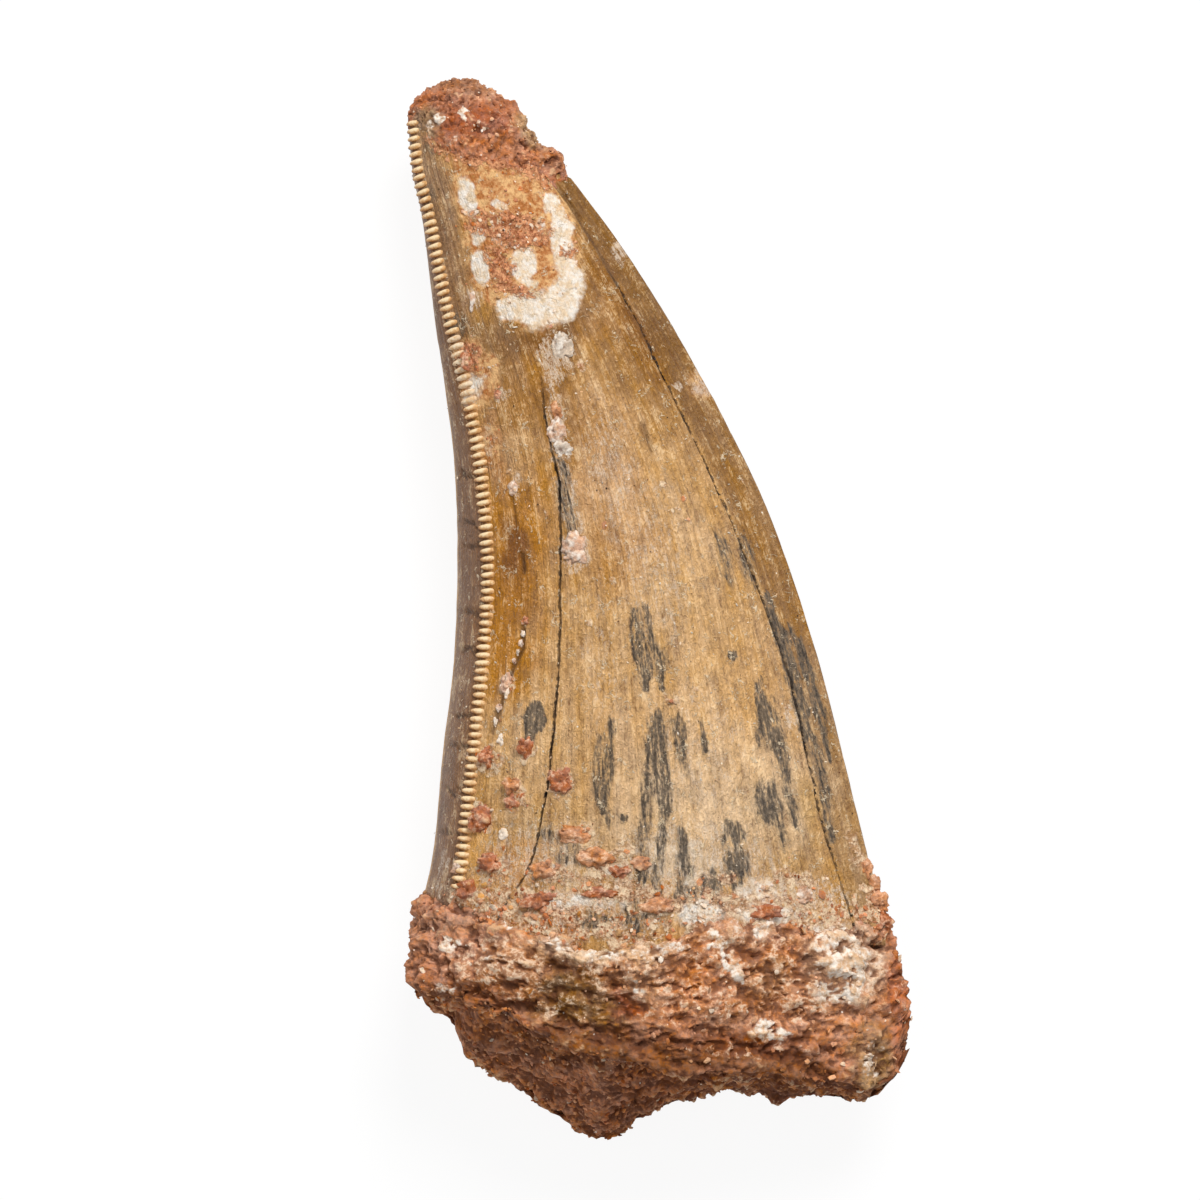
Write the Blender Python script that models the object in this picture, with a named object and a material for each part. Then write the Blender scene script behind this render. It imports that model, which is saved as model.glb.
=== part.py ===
"""Fossil carcharodontosaurus tooth, lying on its side on a small flat of its belly.

Three pieces: the crown with its saw edge, the sandstone that fills and grips the broken root end, and the cap of
sandstone cemented over the worn tip. X runs from the saw edge to the leading edge, Y from the root to the tip and Z up
from the surface. Sizes are in millimetres until a mesh is made, and the origin is under the middle of the tooth.
"""

import math

import bmesh
import bpy
import numpy as np
from mathutils import Vector, noise

MM = 0.001

# Driving dimensions
GAP = 0.3
DENTICLES = 98
DENTICLE_HEIGHT = 0.42
DENTICLE_ROOT = 0.4
DENTICLE_THICKNESS = 0.62
DENTICLE_TIP_THICKNESS = 0.4
SAW_TOP, SAW_BOTTOM = 33.3, -19.0
CREST_AT = 0.42
FRONT_POWER = 2.1
FACET_STEP = 0.2
CRACK_WIDTH = 0.26
CRACK_DEPTH = 0.4
BELLY_AT = 0.45
BELLY_POWER = 2.2
CROWN_RINGS = 34
CAP_RINGS = 4
MATRIX_PROUD = 0.3
MATRIX_COLUMNS = 50
MATRIX_RINGS = 14
MATRIX_LIFT = 0.15
MATRIX_SIDES = (-16.6, 17.0)
MATRIX_ROUGHNESS, MATRIX_LUMP = 0.85, 2.4
LEDGE_HEIGHT = 0.3
CRUST_ENDS = (-16.75, -6.1)
CRUST_STATIONS = 24
CRUST_PROUD = 0.25
CRUST_LEAST = 0.45
CRUST_ROUGHNESS, CRUST_LUMP = 0.42, 1.5
HALF_LENGTH = 36.15

# The outline seen from above: X of each edge and crack at a few heights Y
SAW_EDGE = (
    (-36.2, -15.6), (-25.2, -15.3), (-19.2, -13.7), (-11.3, -12.75), (-4.0, -12.0), (2.0, -11.6), (9.4, -12.1),
    (13.3, -12.75), (20.9, -14.5), (27.0, -15.7), (30.1, -16.4), (34.0, -16.75), (36.2, -16.8),
)
BACK_BULGE = (
    (-36.2, -16.5), (-24.5, -16.45), (-22.5, -16.4), (-19.8, -15.8), (-17.0, -15.2), (-10.2, -14.5), (-3.4, -13.7),
    (3.0, -13.45), (10.2, -13.7), (14.3, -14.2), (19.7, -15.0), (27.0, -15.95), (30.1, -16.6), (36.2, -17.0),
)
LEADING_EDGE = (
    (-36.2, 16.6), (-29.3, 16.8), (-26.6, 17.0), (-22.5, 16.1), (-17.0, 14.5), (-10.2, 12.8), (-2.1, 10.7),
    (6.1, 7.9), (12.9, 4.7), (18.3, 1.7), (23.8, -1.7), (29.2, -5.6), (33.3, -8.9), (36.2, -12.0),
)
LONG_CRACK = (
    (-36.2, -13.0), (-21.1, -10.7), (-17.0, -8.4), (-9.0, -7.0), (0.0, -6.45), (7.7, -6.5), (13.0, -7.5), (19.0, -8.0),
    (24.0, -9.2), (30.0, -12.3), (36.2, -14.5),
)
FACET_CRACK = (
    (-36.2, 14.2), (-23.2, 13.7), (-14.5, 11.3), (-4.1, 8.9), (4.6, 5.7), (14.3, 1.3), (23.5, -3.4), (30.1, -7.9),
    (36.2, -13.0),
)

# Heights Z above the surface at a few heights Y
CREST_Z = (
    (-36.2, 12.8), (-24.0, 14.8), (-11.0, 14.6), (0.0, 13.6), (10.0, 12.2), (20.0, 10.5), (30.0, 8.6), (36.2, 7.0),
)
SAW_Z = (
    (-36.2, 10.2), (-24.0, 11.0), (-11.0, 10.9), (0.0, 10.3), (10.0, 9.4), (20.0, 8.1), (30.0, 6.6), (36.2, 5.6),
)
LEADING_Z = ((-36.2, 7.4), (-11.0, 7.3), (10.0, 6.9), (20.0, 6.4), (30.0, 5.7), (36.2, 5.2))
BULGE_Z = ((-36.2, 6.6), (-11.0, 6.9), (10.0, 6.8), (20.0, 6.5), (30.0, 5.7), (36.2, 5.0))
BELLY_Z = (
    (-36.2, 4.2), (-30.0, 2.4), (-24.0, 1.0), (-17.5, 0.0), (-8.5, -0.5), (0.0, -0.1), (5.0, 0.4), (10.0, 1.0),
    (20.0, 2.2), (30.0, 3.2), (36.2, 3.9),
)

# Ragged borders seen from above: Y at a few places X
ROOT_BREAK = (
    (-17.5, -18.6), (-16.2, -19.1), (-14.1, -20.3), (-11.6, -21.1), (-7.9, -22.1), (-3.8, -23.0), (0.3, -22.6),
    (3.0, -21.6), (7.1, -21.3), (11.2, -21.8), (15.8, -21.7), (17.5, -21.6),
)
TIP_BREAK = (
    (-17.3, 33.9), (-16.4, 33.5), (-15.5, 32.3), (-13.6, 31.3), (-10.8, 30.6), (-7.9, 30.0), (-6.5, 29.5),
    (-5.0, 29.0),
)
CRUST_TOP = (
    (-17.0, 34.3), (-16.3, 34.9), (-15.4, 35.5), (-14.1, 36.1), (-13.2, 36.2), (-12.1, 36.0), (-10.9, 35.3),
    (-9.8, 34.6), (-9.0, 33.4), (-7.9, 31.9), (-7.2, 31.5), (-6.5, 31.2), (-6.0, 30.5),
)
MATRIX_BACK = (
    (-17.5, -24.3), (-16.4, -24.8), (-15.2, -27.2), (-13.8, -28.0), (-12.4, -30.7), (-10.1, -32.0), (-7.9, -33.7),
    (-6.3, -34.9), (-3.4, -36.1), (-0.9, -34.7), (1.7, -33.6), (4.4, -32.9), (9.8, -33.2), (14.3, -33.8),
    (16.0, -32.0), (17.2, -29.5),
)
MATRIX_RIM = (
    (-17.5, -24.6), (-15.3, -25.5), (-10.6, -27.2), (-6.5, -29.3), (-1.1, -30.8), (4.4, -31.3), (15.3, -31.8),
    (17.2, -29.6),
)
RIM_Z, UNDERSIDE_Z = 12.4, 3.5

# Sandstone crumbs grown onto the front face: X, Y, half width, half length, height
CRUMBS = (
    (-12.7, 17.0, 0.9, 1.0, 0.5), (-12.7, 15.0, 0.8, 0.9, 0.45), (-6.5, 17.2, 0.8, 1.4, 0.4),
    (-6.7, 12.0, 0.6, 0.9, 0.45), (-5.5, 4.0, 0.8, 1.0, 0.45), (-8.8, -0.8, 0.35, 0.35, 0.3),
    (-11.2, -10.2, 0.6, 0.5, 0.45), (-8.6, -9.7, 0.6, 0.5, 0.45), (-9.5, -12.9, 0.8, 0.8, 0.5),
    (-11.7, -14.3, 0.8, 0.8, 0.55), (-5.7, -11.8, 0.8, 0.8, 0.5), (-5.0, -15.3, 1.0, 0.6, 0.5),
    (-11.0, -17.5, 1.0, 0.6, 0.5), (-7.8, -18.2, 0.9, 0.8, 0.5), (-3.6, -17.2, 1.1, 0.8, 0.5),
)

# Knobs of the root sandstone: X, Y, Z, radius, how far it stands out, or in where it is negative
KNOBS = (
    (-15.8, -23.8, 9.5, 2.0, 0.7), (-9.8, -24.6, 13.8, 2.2, 0.7), (-15.0, -26.5, 10.0, 1.3, 0.7),
    (-5.8, -26.2, 13.8, 2.6, -0.8), (-1.9, -26.6, 14.3, 1.2, -0.7), (-2.5, -24.2, 14.3, 2.5, 0.4),
    (6.0, -24.6, 13.0, 2.6, 0.5), (8.6, -26.2, 12.5, 1.0, -0.5), (12.6, -24.6, 10.5, 2.4, 0.4),
    (14.8, -30.8, 7.5, 1.8, 0.7), (8.6, -32.6, 6.5, 1.0, 0.6), (16.2, -27.0, 6.0, 2.0, 0.5),
    (-3.5, -34.6, 6.0, 1.8, 0.5), (2.0, -30.6, 13.0, 2.0, 0.4), (-11.5, -29.0, 7.0, 1.6, 0.5),
)


def curve_through(points):
    """A smooth function through (place, value) pairs that never overshoots them."""
    at = np.array([place for place, _ in points])
    value = np.array([amount for _, amount in points])
    step = np.diff(at)
    slope = np.diff(value) / step
    tangent = np.zeros(len(at))
    tangent[0], tangent[-1] = slope[0], slope[-1]
    for i in range(1, len(at) - 1):
        if slope[i - 1] * slope[i] > 0.0:
            before, after = 2 * step[i] + step[i - 1], step[i] + 2 * step[i - 1]
            tangent[i] = (before + after) / (before / slope[i - 1] + after / slope[i])

    def curve(place):
        place = min(max(place, at[0]), at[-1])
        i = min(int(np.searchsorted(at, place, side="right")) - 1, len(step) - 1)
        t = (place - at[i]) / step[i]
        return float(
            value[i] * (1 + 2 * t) * (1 - t) ** 2
            + tangent[i] * step[i] * t * (1 - t) ** 2
            + value[i + 1] * t * t * (3 - 2 * t)
            + tangent[i + 1] * step[i] * t * t * (t - 1)
        )

    return curve


saw_edge = curve_through(SAW_EDGE)
back_bulge = curve_through(BACK_BULGE)
leading_edge = curve_through(LEADING_EDGE)
long_crack = curve_through(LONG_CRACK)
facet_crack = curve_through(FACET_CRACK)
crest_z = curve_through(CREST_Z)
saw_z = curve_through(SAW_Z)
leading_z = curve_through(LEADING_Z)
bulge_z = curve_through(BULGE_Z)
belly_z = curve_through(BELLY_Z)
root_break = curve_through(ROOT_BREAK)
tip_break = curve_through(TIP_BREAK)
crust_top = curve_through(CRUST_TOP)
matrix_back = curve_through(MATRIX_BACK)
matrix_rim = curve_through(MATRIX_RIM)


def blend(start, end, share):
    return start + (end - start) * share


def smooth_step(value, low, high):
    share = min(max((value - low) / (high - low), 0.0), 1.0)
    return share * share * (3 - 2 * share)


def front_height(x, y):
    """Z of the front face: a convex arch from the saw edge to the leading edge, lower past the facet crack."""
    left, right = saw_edge(y), leading_edge(y)
    across = min(max((x - left) / (right - left), 0.0), 1.0)
    chord = blend(saw_z(y), leading_z(y), across)
    rise = crest_z(y) - blend(saw_z(y), leading_z(y), CREST_AT)
    reach = CREST_AT if across < CREST_AT else 1 - CREST_AT
    arch = 1 - abs((across - CREST_AT) / reach) ** FRONT_POWER
    facet = FACET_STEP * smooth_step(x, facet_crack(y), facet_crack(y) + CRACK_WIDTH)
    return chord + rise * arch - facet * smooth_step(right - x, 0.0, 1.0)


def front_columns(y, groove=CRACK_DEPTH):
    """(x, z) along the front face from the leading edge to the saw edge, with each crack as a narrow groove."""
    right, facet, crack, left = leading_edge(y), facet_crack(y), long_crack(y), saw_edge(y)
    half = CRACK_WIDTH / 2
    facet = min(facet, right - 0.6)
    crack_open = smooth_step(19.5 - y, 0.0, 3.0)
    xs = [(blend(right, facet + half, i / 3), 0.0) for i in range(3)]
    xs += [(facet + half, 0.0), (facet, groove), (facet - half, 0.0)]
    xs += [(blend(facet - half, crack + half, i / 7), 0.0) for i in range(1, 7)]
    xs += [(crack + half, 0.0), (crack, groove * crack_open), (crack - half, 0.0)]
    xs += [(blend(crack - half, left, i / 4), 0.0) for i in range(1, 5)]
    return [(x, front_height(x, y) - depth) for x, depth in xs]


def back_columns(y):
    """(x, z) round the back from the saw edge over the bulge and the belly to the leading edge, ends left out."""
    right, left, bulge = leading_edge(y), saw_edge(y), back_bulge(y)
    middle, belly = blend(bulge, right, BELLY_AT), belly_z(y)
    points = []
    for i in range(1, 3):
        turn = i / 3 * math.pi / 2
        points.append(
            (
                left - (left - bulge) * math.sin(turn) ** 1.4,
                bulge_z(y) + (saw_z(y) - bulge_z(y)) * math.cos(turn) ** 1.4,
            )
        )
    for i in range(6):
        turn = i / 6 * math.pi / 2
        x = middle + (bulge - middle) * math.cos(turn) ** 0.85
        points.append((x, belly + (bulge_z(y) - belly) * (1 - math.sin(turn) ** 0.85)))
    for i in range(7):
        share = i / 7
        x = blend(middle, right, share)
        points.append((x, belly + (leading_z(y) - belly) * share**BELLY_POWER))
    return points


def section(y):
    """The closed outline of the crown at height Y, kept off the surface so that the belly has its flat."""
    return [(x, max(z, 0.0)) for x, z in front_columns(y) + back_columns(y)]


def even_section(y, count, proud):
    """The section without its cracks, swollen by proud and walked round in count even steps."""
    outline = [Vector(point) for point in front_columns(y, groove=0.0) + back_columns(y)]
    middle = Vector((blend(back_bulge(y), leading_edge(y), 0.5), blend(belly_z(y), crest_z(y), 0.5)))
    outline = [point + (point - middle).normalized() * proud for point in outline]
    legs = [(after - point).length for point, after in zip(outline, outline[1:] + outline[:1])]
    run = np.concatenate([[0.0], np.cumsum(legs)])
    steps = np.arange(count) / count * run[-1]
    xs = np.interp(steps, run, [point.x for point in outline + outline[:1]])
    zs = np.interp(steps, run, [point.y for point in outline + outline[:1]])
    return list(zip(xs.tolist(), zs.tolist()))


def meet(border, column, start):
    """The height Y at which one column of the section meets a ragged border."""
    y = start
    for _ in range(12):
        y = border(section(y)[column][0])
    return y


def add_ring(mesh, points):
    return [mesh.verts.new(Vector(point) * MM) for point in points]


def bridge(mesh, lower, upper):
    for i, start in enumerate(lower):
        after = (i + 1) % len(lower)
        mesh.faces.new((start, lower[after], upper[after], upper[i]))


def close_ring(mesh, ring, centre):
    middle = mesh.verts.new(Vector(centre) * MM)
    for i, start in enumerate(ring):
        mesh.faces.new((start, ring[(i + 1) % len(ring)], middle))


def add_cap(mesh, ring, outline, height_at):
    """Closes a ring with smaller rings on the surface that height_at(x, z) gives."""
    centre_x = sum(x for x, _, _ in outline) / len(outline)
    centre_z = sum(z for _, _, z in outline) / len(outline)
    last = ring
    for step in range(1, CAP_RINGS):
        share = 1 - step / CAP_RINGS
        points = []
        for x, _, z in outline:
            x, z = blend(centre_x, x, share), blend(centre_z, z, share)
            points.append((x, height_at(x, z), z))
        inner = add_ring(mesh, points)
        bridge(mesh, last, inner)
        last = inner
    close_ring(mesh, last, (centre_x, height_at(centre_x, centre_z), centre_z))


def colour(red, green, blue):
    """sRGB shares turned to the linear values that a shader takes."""
    linear = [c / 12.92 if c <= 0.04045 else ((c + 0.055) / 1.055) ** 2.4 for c in (red, green, blue)]
    return (*linear, 1.0)


def stone_material(name, base, roughness):
    material = bpy.data.materials.new(name)
    material.use_nodes = True
    shader = material.node_tree.nodes["Principled BSDF"]
    shader.inputs["Base Color"].default_value = colour(*base)
    shader.inputs["Roughness"].default_value = roughness
    shader.inputs["Metallic"].default_value = 0.0
    material.diffuse_color = colour(*base)
    return material


def add_object(name, mesh, material, sharp_angle=50.0):
    """One closed body from a bmesh, faces outward and shaded smooth."""
    bmesh.ops.recalc_face_normals(mesh, faces=mesh.faces)
    data = bpy.data.meshes.new(name)
    mesh.to_mesh(data)
    mesh.free()
    data.shade_smooth()
    data.set_sharp_from_angle(angle=math.radians(sharp_angle))
    if material:
        data.materials.append(material)
    made = bpy.data.objects.new(name, data)
    bpy.context.scene.collection.objects.link(made)
    return made


def join_on(made, helper):
    """Unites a helper solid with the piece and leaves the helper out of the picture."""
    helper.hide_render = True
    helper.display_type = "WIRE"
    union = made.modifiers.new(helper.name, "BOOLEAN")
    union.operation = "UNION"
    union.solver = "EXACT"
    union.object = helper


def crown_mesh():
    """The crown: rings from the broken root to the worn tip, each column running along the tooth."""
    mesh = bmesh.new()
    columns = len(section(0.0))
    low = [meet(root_break, c, -21.0) + GAP / 2 for c in range(columns)]
    high = [meet(tip_break, c, 31.0) - GAP / 2 for c in range(columns)]
    outlines = []
    for ring in range(CROWN_RINGS + 1):
        points = []
        for c in range(columns):
            y = blend(low[c], high[c], ring / CROWN_RINGS)
            x, z = section(y)[c]
            points.append((x, y, z))
        outlines.append(points)
    rings = [add_ring(mesh, points) for points in outlines]
    for lower, upper in zip(rings, rings[1:]):
        bridge(mesh, lower, upper)
    add_cap(mesh, rings[0], outlines[0], lambda x, z: root_break(x) + GAP / 2)
    add_cap(mesh, rings[-1], outlines[-1], lambda x, z: tip_break(x) - GAP / 2)
    return mesh


def saw_mesh():
    """The comb of denticles along the saw edge, rooted inside the crown."""

    def place(y):
        return Vector((saw_edge(y), y, saw_z(y)))

    heights = np.linspace(SAW_BOTTOM, SAW_TOP, 400)
    run = np.concatenate([[0.0], np.cumsum([(place(b) - place(a)).length for a, b in zip(heights, heights[1:])])])
    pitch = run[-1] / DENTICLES
    mesh = bmesh.new()
    rings = []
    for k in range(DENTICLES):
        for share, height in ((0.0, 0.06), (0.28, DENTICLE_HEIGHT), (0.72, DENTICLE_HEIGHT)):
            y = float(np.interp((k + share) * pitch, run, heights))
            along = (place(y + 0.3) - place(y - 0.3)).normalized()
            tilt = blend(0.66, 0.45, smooth_step(y, 15.0, 27.0))
            out = Vector((-math.sqrt(1 - tilt * tilt), 0.0, tilt))
            out = (out - along * out.dot(along)).normalized()
            side = along.cross(out)
            root, tip = place(y) - out * DENTICLE_ROOT, place(y) + out * height
            half_root, half_tip = side * DENTICLE_THICKNESS / 2, side * DENTICLE_TIP_THICKNESS / 2
            rings.append(add_ring(mesh, (root + half_root, tip + half_tip, tip - half_tip, root - half_root)))
    for lower, upper in zip(rings, rings[1:]):
        bridge(mesh, lower, upper)
    mesh.faces.new(rings[0])
    mesh.faces.new(rings[-1])
    return mesh


def crumbs_mesh():
    """Low rounded crumbs of sandstone, sunk to their middle in the front face."""
    mesh = bmesh.new()
    for x, y, half_width, half_length, height in CRUMBS:
        crumb = bmesh.ops.create_icosphere(mesh, subdivisions=1, radius=1.0)["verts"]
        centre = Vector((x, y, front_height(x, y)))
        for vert in crumb:
            wobble = 1 + 0.25 * noise.noise(vert.co * 1.7 + centre)
            offset = Vector((vert.co.x * half_width, vert.co.y * half_length, vert.co.z * height))
            vert.co = (centre + offset * wobble) * MM
    return mesh


def rough(point, size):
    """Lumps of sandstone, from -1 to 1, about size millimetres apart."""
    at = Vector(point) / size
    return noise.noise(at) + 0.5 * noise.noise(at * 2.1 + Vector((3.7, 1.9, 8.2)))


def knob_push(point):
    """How far the named knobs and hollows push a point of the root sandstone."""
    push = 0.0
    for x, y, z, radius, height in KNOBS:
        distance = (Vector(point) - Vector((x, y, z))).length / radius
        push += height * math.exp(-distance * distance)
    return push


def root_underside(x, z):
    """Y of the broken underside: it slants, so that its back edge shows below the front rim."""
    return blend(matrix_back(x), matrix_rim(x), smooth_step(z, UNDERSIDE_Z, RIM_Z))


def root_matrix_mesh():
    """The sandstone at the root: rings from the break down to the slanting underside, then knobs and ledges."""
    mesh = bmesh.new()
    outlines = []
    for ring in range(MATRIX_RINGS + 1):
        share = ring / MATRIX_RINGS
        points = []
        for c in range(MATRIX_COLUMNS):
            y = blend(-21.0, -30.0, share)
            for _ in range(8):
                x, z = even_section(y, MATRIX_COLUMNS, MATRIX_PROUD)[c]
                y = blend(root_break(x) - GAP / 2, root_underside(x, z), share)
            points.append((x, y, z))
        outlines.append(points)
    rings = [add_ring(mesh, points) for points in outlines]
    for lower, upper in zip(rings, rings[1:]):
        bridge(mesh, lower, upper)
    add_cap(mesh, rings[0], outlines[0], lambda x, z: root_break(x) - GAP / 2)
    add_cap(mesh, rings[-1], outlines[-1], root_underside)
    bmesh.ops.recalc_face_normals(mesh, faces=mesh.faces)
    mesh.normal_update()
    moves = []
    for vert in mesh.verts:
        point = vert.co / MM
        below = root_break(point.x) - GAP / 2 - point.y
        ledge = LEDGE_HEIGHT * math.sin(2.6 * point.y + 0.5 * point.x + 3 * noise.noise(point / 5))
        ledge *= smooth_step(point.z, 8.0, RIM_Z)
        move = vert.normal * (MATRIX_ROUGHNESS * rough(point, MATRIX_LUMP) + ledge + knob_push(point))
        if below < 0.05:
            move = Vector((0.0, 0.0, 0.0))
        elif below < 1.0:
            move.y = min(move.y, 0.0)
        moves.append((point + move * min(below, 1.0)))
    for vert, moved in zip(mesh.verts, moves):
        moved.x = min(max(moved.x, MATRIX_SIDES[0]), MATRIX_SIDES[1])
        moved.y = max(moved.y, -HALF_LENGTH)
        moved.z = max(moved.z, MATRIX_LIFT)
        vert.co = moved * MM
    return mesh


def tip_crust_mesh():
    """The sandstone cap on the worn tip: domed slices from left to right on the line of the break."""
    mesh = bmesh.new()
    foot, arc = 5, 15
    rings = []
    for station in range(CRUST_STATIONS + 1):
        x = blend(*CRUST_ENDS, station / CRUST_STATIONS)
        base = tip_break(x) + GAP / 2
        top = max(crust_top(x), base + CRUST_LEAST)
        shown = min(max(x, saw_edge(base) + 0.3), leading_edge(base) - 0.3)
        middle = blend(bulge_z(base), leading_z(base), 0.5)
        half_front = front_height(shown, base) + CRUST_PROUD - middle
        half_back = middle - blend(belly_z(base), middle, 0.12)
        half_back *= blend(0.35, 1.0, smooth_step(min(x - CRUST_ENDS[0], CRUST_ENDS[1] - x), -0.2, 3.3))
        points = [(x, base, blend(middle - half_back, middle + half_front, i / foot)) for i in range(foot)]
        for i in range(arc):
            turn = math.pi * i / (arc - 1)
            reach = half_front if i < arc / 2 else half_back
            round_top = math.sin(turn) ** 0.8
            points.append((x, blend(base, top, round_top), middle + reach * math.cos(turn)))
        rings.append((add_ring(mesh, points[:-1]), points[:-1]))
    for (lower, _), (upper, _) in zip(rings, rings[1:]):
        bridge(mesh, lower, upper)
    for ring, points in (rings[0], rings[-1]):
        centre = sum((Vector(point) for point in points), Vector()) / len(points)
        close_ring(mesh, ring, centre)
    bmesh.ops.recalc_face_normals(mesh, faces=mesh.faces)
    mesh.normal_update()
    moved = []
    for vert in mesh.verts:
        point = vert.co / MM
        above = point.y - tip_break(point.x) - GAP / 2
        push = CRUST_ROUGHNESS * rough(point, CRUST_LUMP) * smooth_step(above, 0.02, 0.8)
        moved.append(point + vert.normal * push)
    for vert, point in zip(mesh.verts, moved):
        point.y = min(point.y, HALF_LENGTH)
        vert.co = point * MM
    return mesh


def build():
    for old in list(bpy.data.objects):
        bpy.data.objects.remove(old, do_unlink=True)
    enamel = stone_material("enamel", (0.72, 0.56, 0.38), 0.42)
    sandstone = stone_material("sandstone", (0.70, 0.47, 0.34), 0.9)
    crust = stone_material("crust", (0.66, 0.42, 0.30), 0.9)
    tooth = add_object("tooth", crown_mesh(), enamel)
    join_on(tooth, add_object("saw_comb", saw_mesh(), enamel))
    join_on(tooth, add_object("crumb_lumps", crumbs_mesh(), sandstone))
    add_object("base_matrix", root_matrix_mesh(), sandstone)
    add_object("tip_crust", tip_crust_mesh(), crust)


build()
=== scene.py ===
"""Looks of a fossil carcharodontosaurus tooth that lies on its side, seen from straight above.

Sizes are in millimetres until a mesh is made. Places named as pixels are those of the 1200-pixel photograph.
PhotoView turns them to millimetres on the tooth and back.
"""

import logging
import math
from collections.abc import Sequence
from dataclasses import dataclass, field
from enum import Enum

import bpy
import numpy as np
from bpy.types import Material, Object
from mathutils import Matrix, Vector, noise

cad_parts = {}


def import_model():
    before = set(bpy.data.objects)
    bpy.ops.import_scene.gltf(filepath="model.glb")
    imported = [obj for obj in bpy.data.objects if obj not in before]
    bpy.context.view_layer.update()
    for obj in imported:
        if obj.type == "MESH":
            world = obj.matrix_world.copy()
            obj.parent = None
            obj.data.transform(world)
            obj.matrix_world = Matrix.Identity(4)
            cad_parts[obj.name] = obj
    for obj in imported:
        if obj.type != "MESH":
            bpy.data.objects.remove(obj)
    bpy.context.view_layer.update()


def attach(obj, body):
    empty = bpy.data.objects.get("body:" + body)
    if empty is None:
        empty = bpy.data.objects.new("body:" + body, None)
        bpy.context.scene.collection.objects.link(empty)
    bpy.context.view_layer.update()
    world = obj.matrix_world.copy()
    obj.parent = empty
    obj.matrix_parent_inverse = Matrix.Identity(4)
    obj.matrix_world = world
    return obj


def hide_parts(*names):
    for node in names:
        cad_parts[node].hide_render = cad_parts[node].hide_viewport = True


MM = 0.001
MERGE_MM = 0.002
BAKE_MAP = "OFBake"
TINY = 1e-9

Array = np.ndarray
Pixels = tuple[np.ndarray, np.ndarray]
Paints = dict[str, np.ndarray]
Pair = tuple[float, float]
Socket = bpy.types.NodeSocket
Ripple = tuple[str, float, float, float]

log = logging.getLogger("fossil_tooth")


def linear(hex_colour: str) -> tuple[float, float, float, float]:
    """Turn an sRGB hex value to the linear colour that a shader takes.

    Args:
        hex_colour: six hex digits, with or without a leading #.

    Returns:
        Linear red, green, blue and an alpha of 1.
    """
    digits = hex_colour.lstrip("#")
    shares = [int(digits[i : i + 2], 16) / 255 for i in (0, 2, 4)]
    channels = [c / 12.92 if c <= 0.04045 else ((c + 0.055) / 1.055) ** 2.4 for c in shares]
    return (*channels, 1.0)


def blend(start: Array | float, end: Array | float, share: Array | float) -> Array | float:
    """Return the value that lies share of the way from start to end."""
    return start + (end - start) * share


def smooth_step(value: Array, low: float, high: float) -> Array:
    """Return 0 below low, 1 above high and a smooth rise between them."""
    share = np.clip((value - low) / (high - low), 0.0, 1.0)
    return share * share * (3 - 2 * share)


def rough(points: Array, size: float, octaves: int = 3, seed: float = 0.0) -> Array:
    """Fractal noise at points.

    Args:
        points: places in millimetres, last axis x, y, z.
        size: distance between lumps in millimetres.
        octaves: how many times finer lumps are added.
        seed: shifts the pattern.

    Returns:
        Values of about -1 to 1, in the shape of points without its last axis.
    """
    flat = (points.reshape(-1, 3) / size + seed).tolist()
    values = [noise.fractal(place, 0.9, 2.1, octaves) for place in flat]
    return np.array(values).reshape(points.shape[:-1])


def cells(points: Array, size: float, seed: float = 0.0) -> Array:
    """Rounded grains packed together: 1 at the middle of a grain and about 0 in the seams between them.

    Args:
        points: places in millimetres, last axis x, y, z.
        size: distance between grains in millimetres.
        seed: shifts the pattern.

    Returns:
        One value for each place.
    """
    flat = (points.reshape(-1, 3) / size + seed).tolist()
    near = np.array([noise.voronoi(place)[0][:2] for place in flat])
    return np.clip(near[:, 1] - near[:, 0], 0.0, 1.0).reshape(points.shape[:-1])


def creases(points: Array, size: float, octaves: int = 4, seed: float = 0.0) -> Array:
    """Sharp creases between billows: 0 in a crease and up to about 1 on a billow.

    Args:
        points: places in millimetres, last axis x, y, z.
        size: distance between billows in millimetres.
        octaves: how many times finer ones are added.
        seed: shifts the pattern.

    Returns:
        One value for each place.
    """
    flat = (points.reshape(-1, 3) / size + seed).tolist()
    values = [noise.turbulence(place, octaves, True) for place in flat]
    return np.clip(np.array(values), 0.0, 1.5).reshape(points.shape[:-1])


def swayed(points: Array, pixels: Pixels, size: float, reach: Pair, seed: float) -> Pixels:
    """Bend photo pixels by noise, so that a mark drawn with plain curves gets a natural border.

    Args:
        points: places in millimetres.
        pixels: photo x and y of each place.
        size: distance between bends in millimetres.
        reach: pixels that a place is moved across and along.
        seed: shifts the pattern.

    Returns:
        The bent photo x and y.
    """
    across, along = rough(points, size, 4, seed), rough(points, size, 4, seed + 7.7)
    return pixels[0] + reach[0] * across, pixels[1] + reach[1] * along


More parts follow.
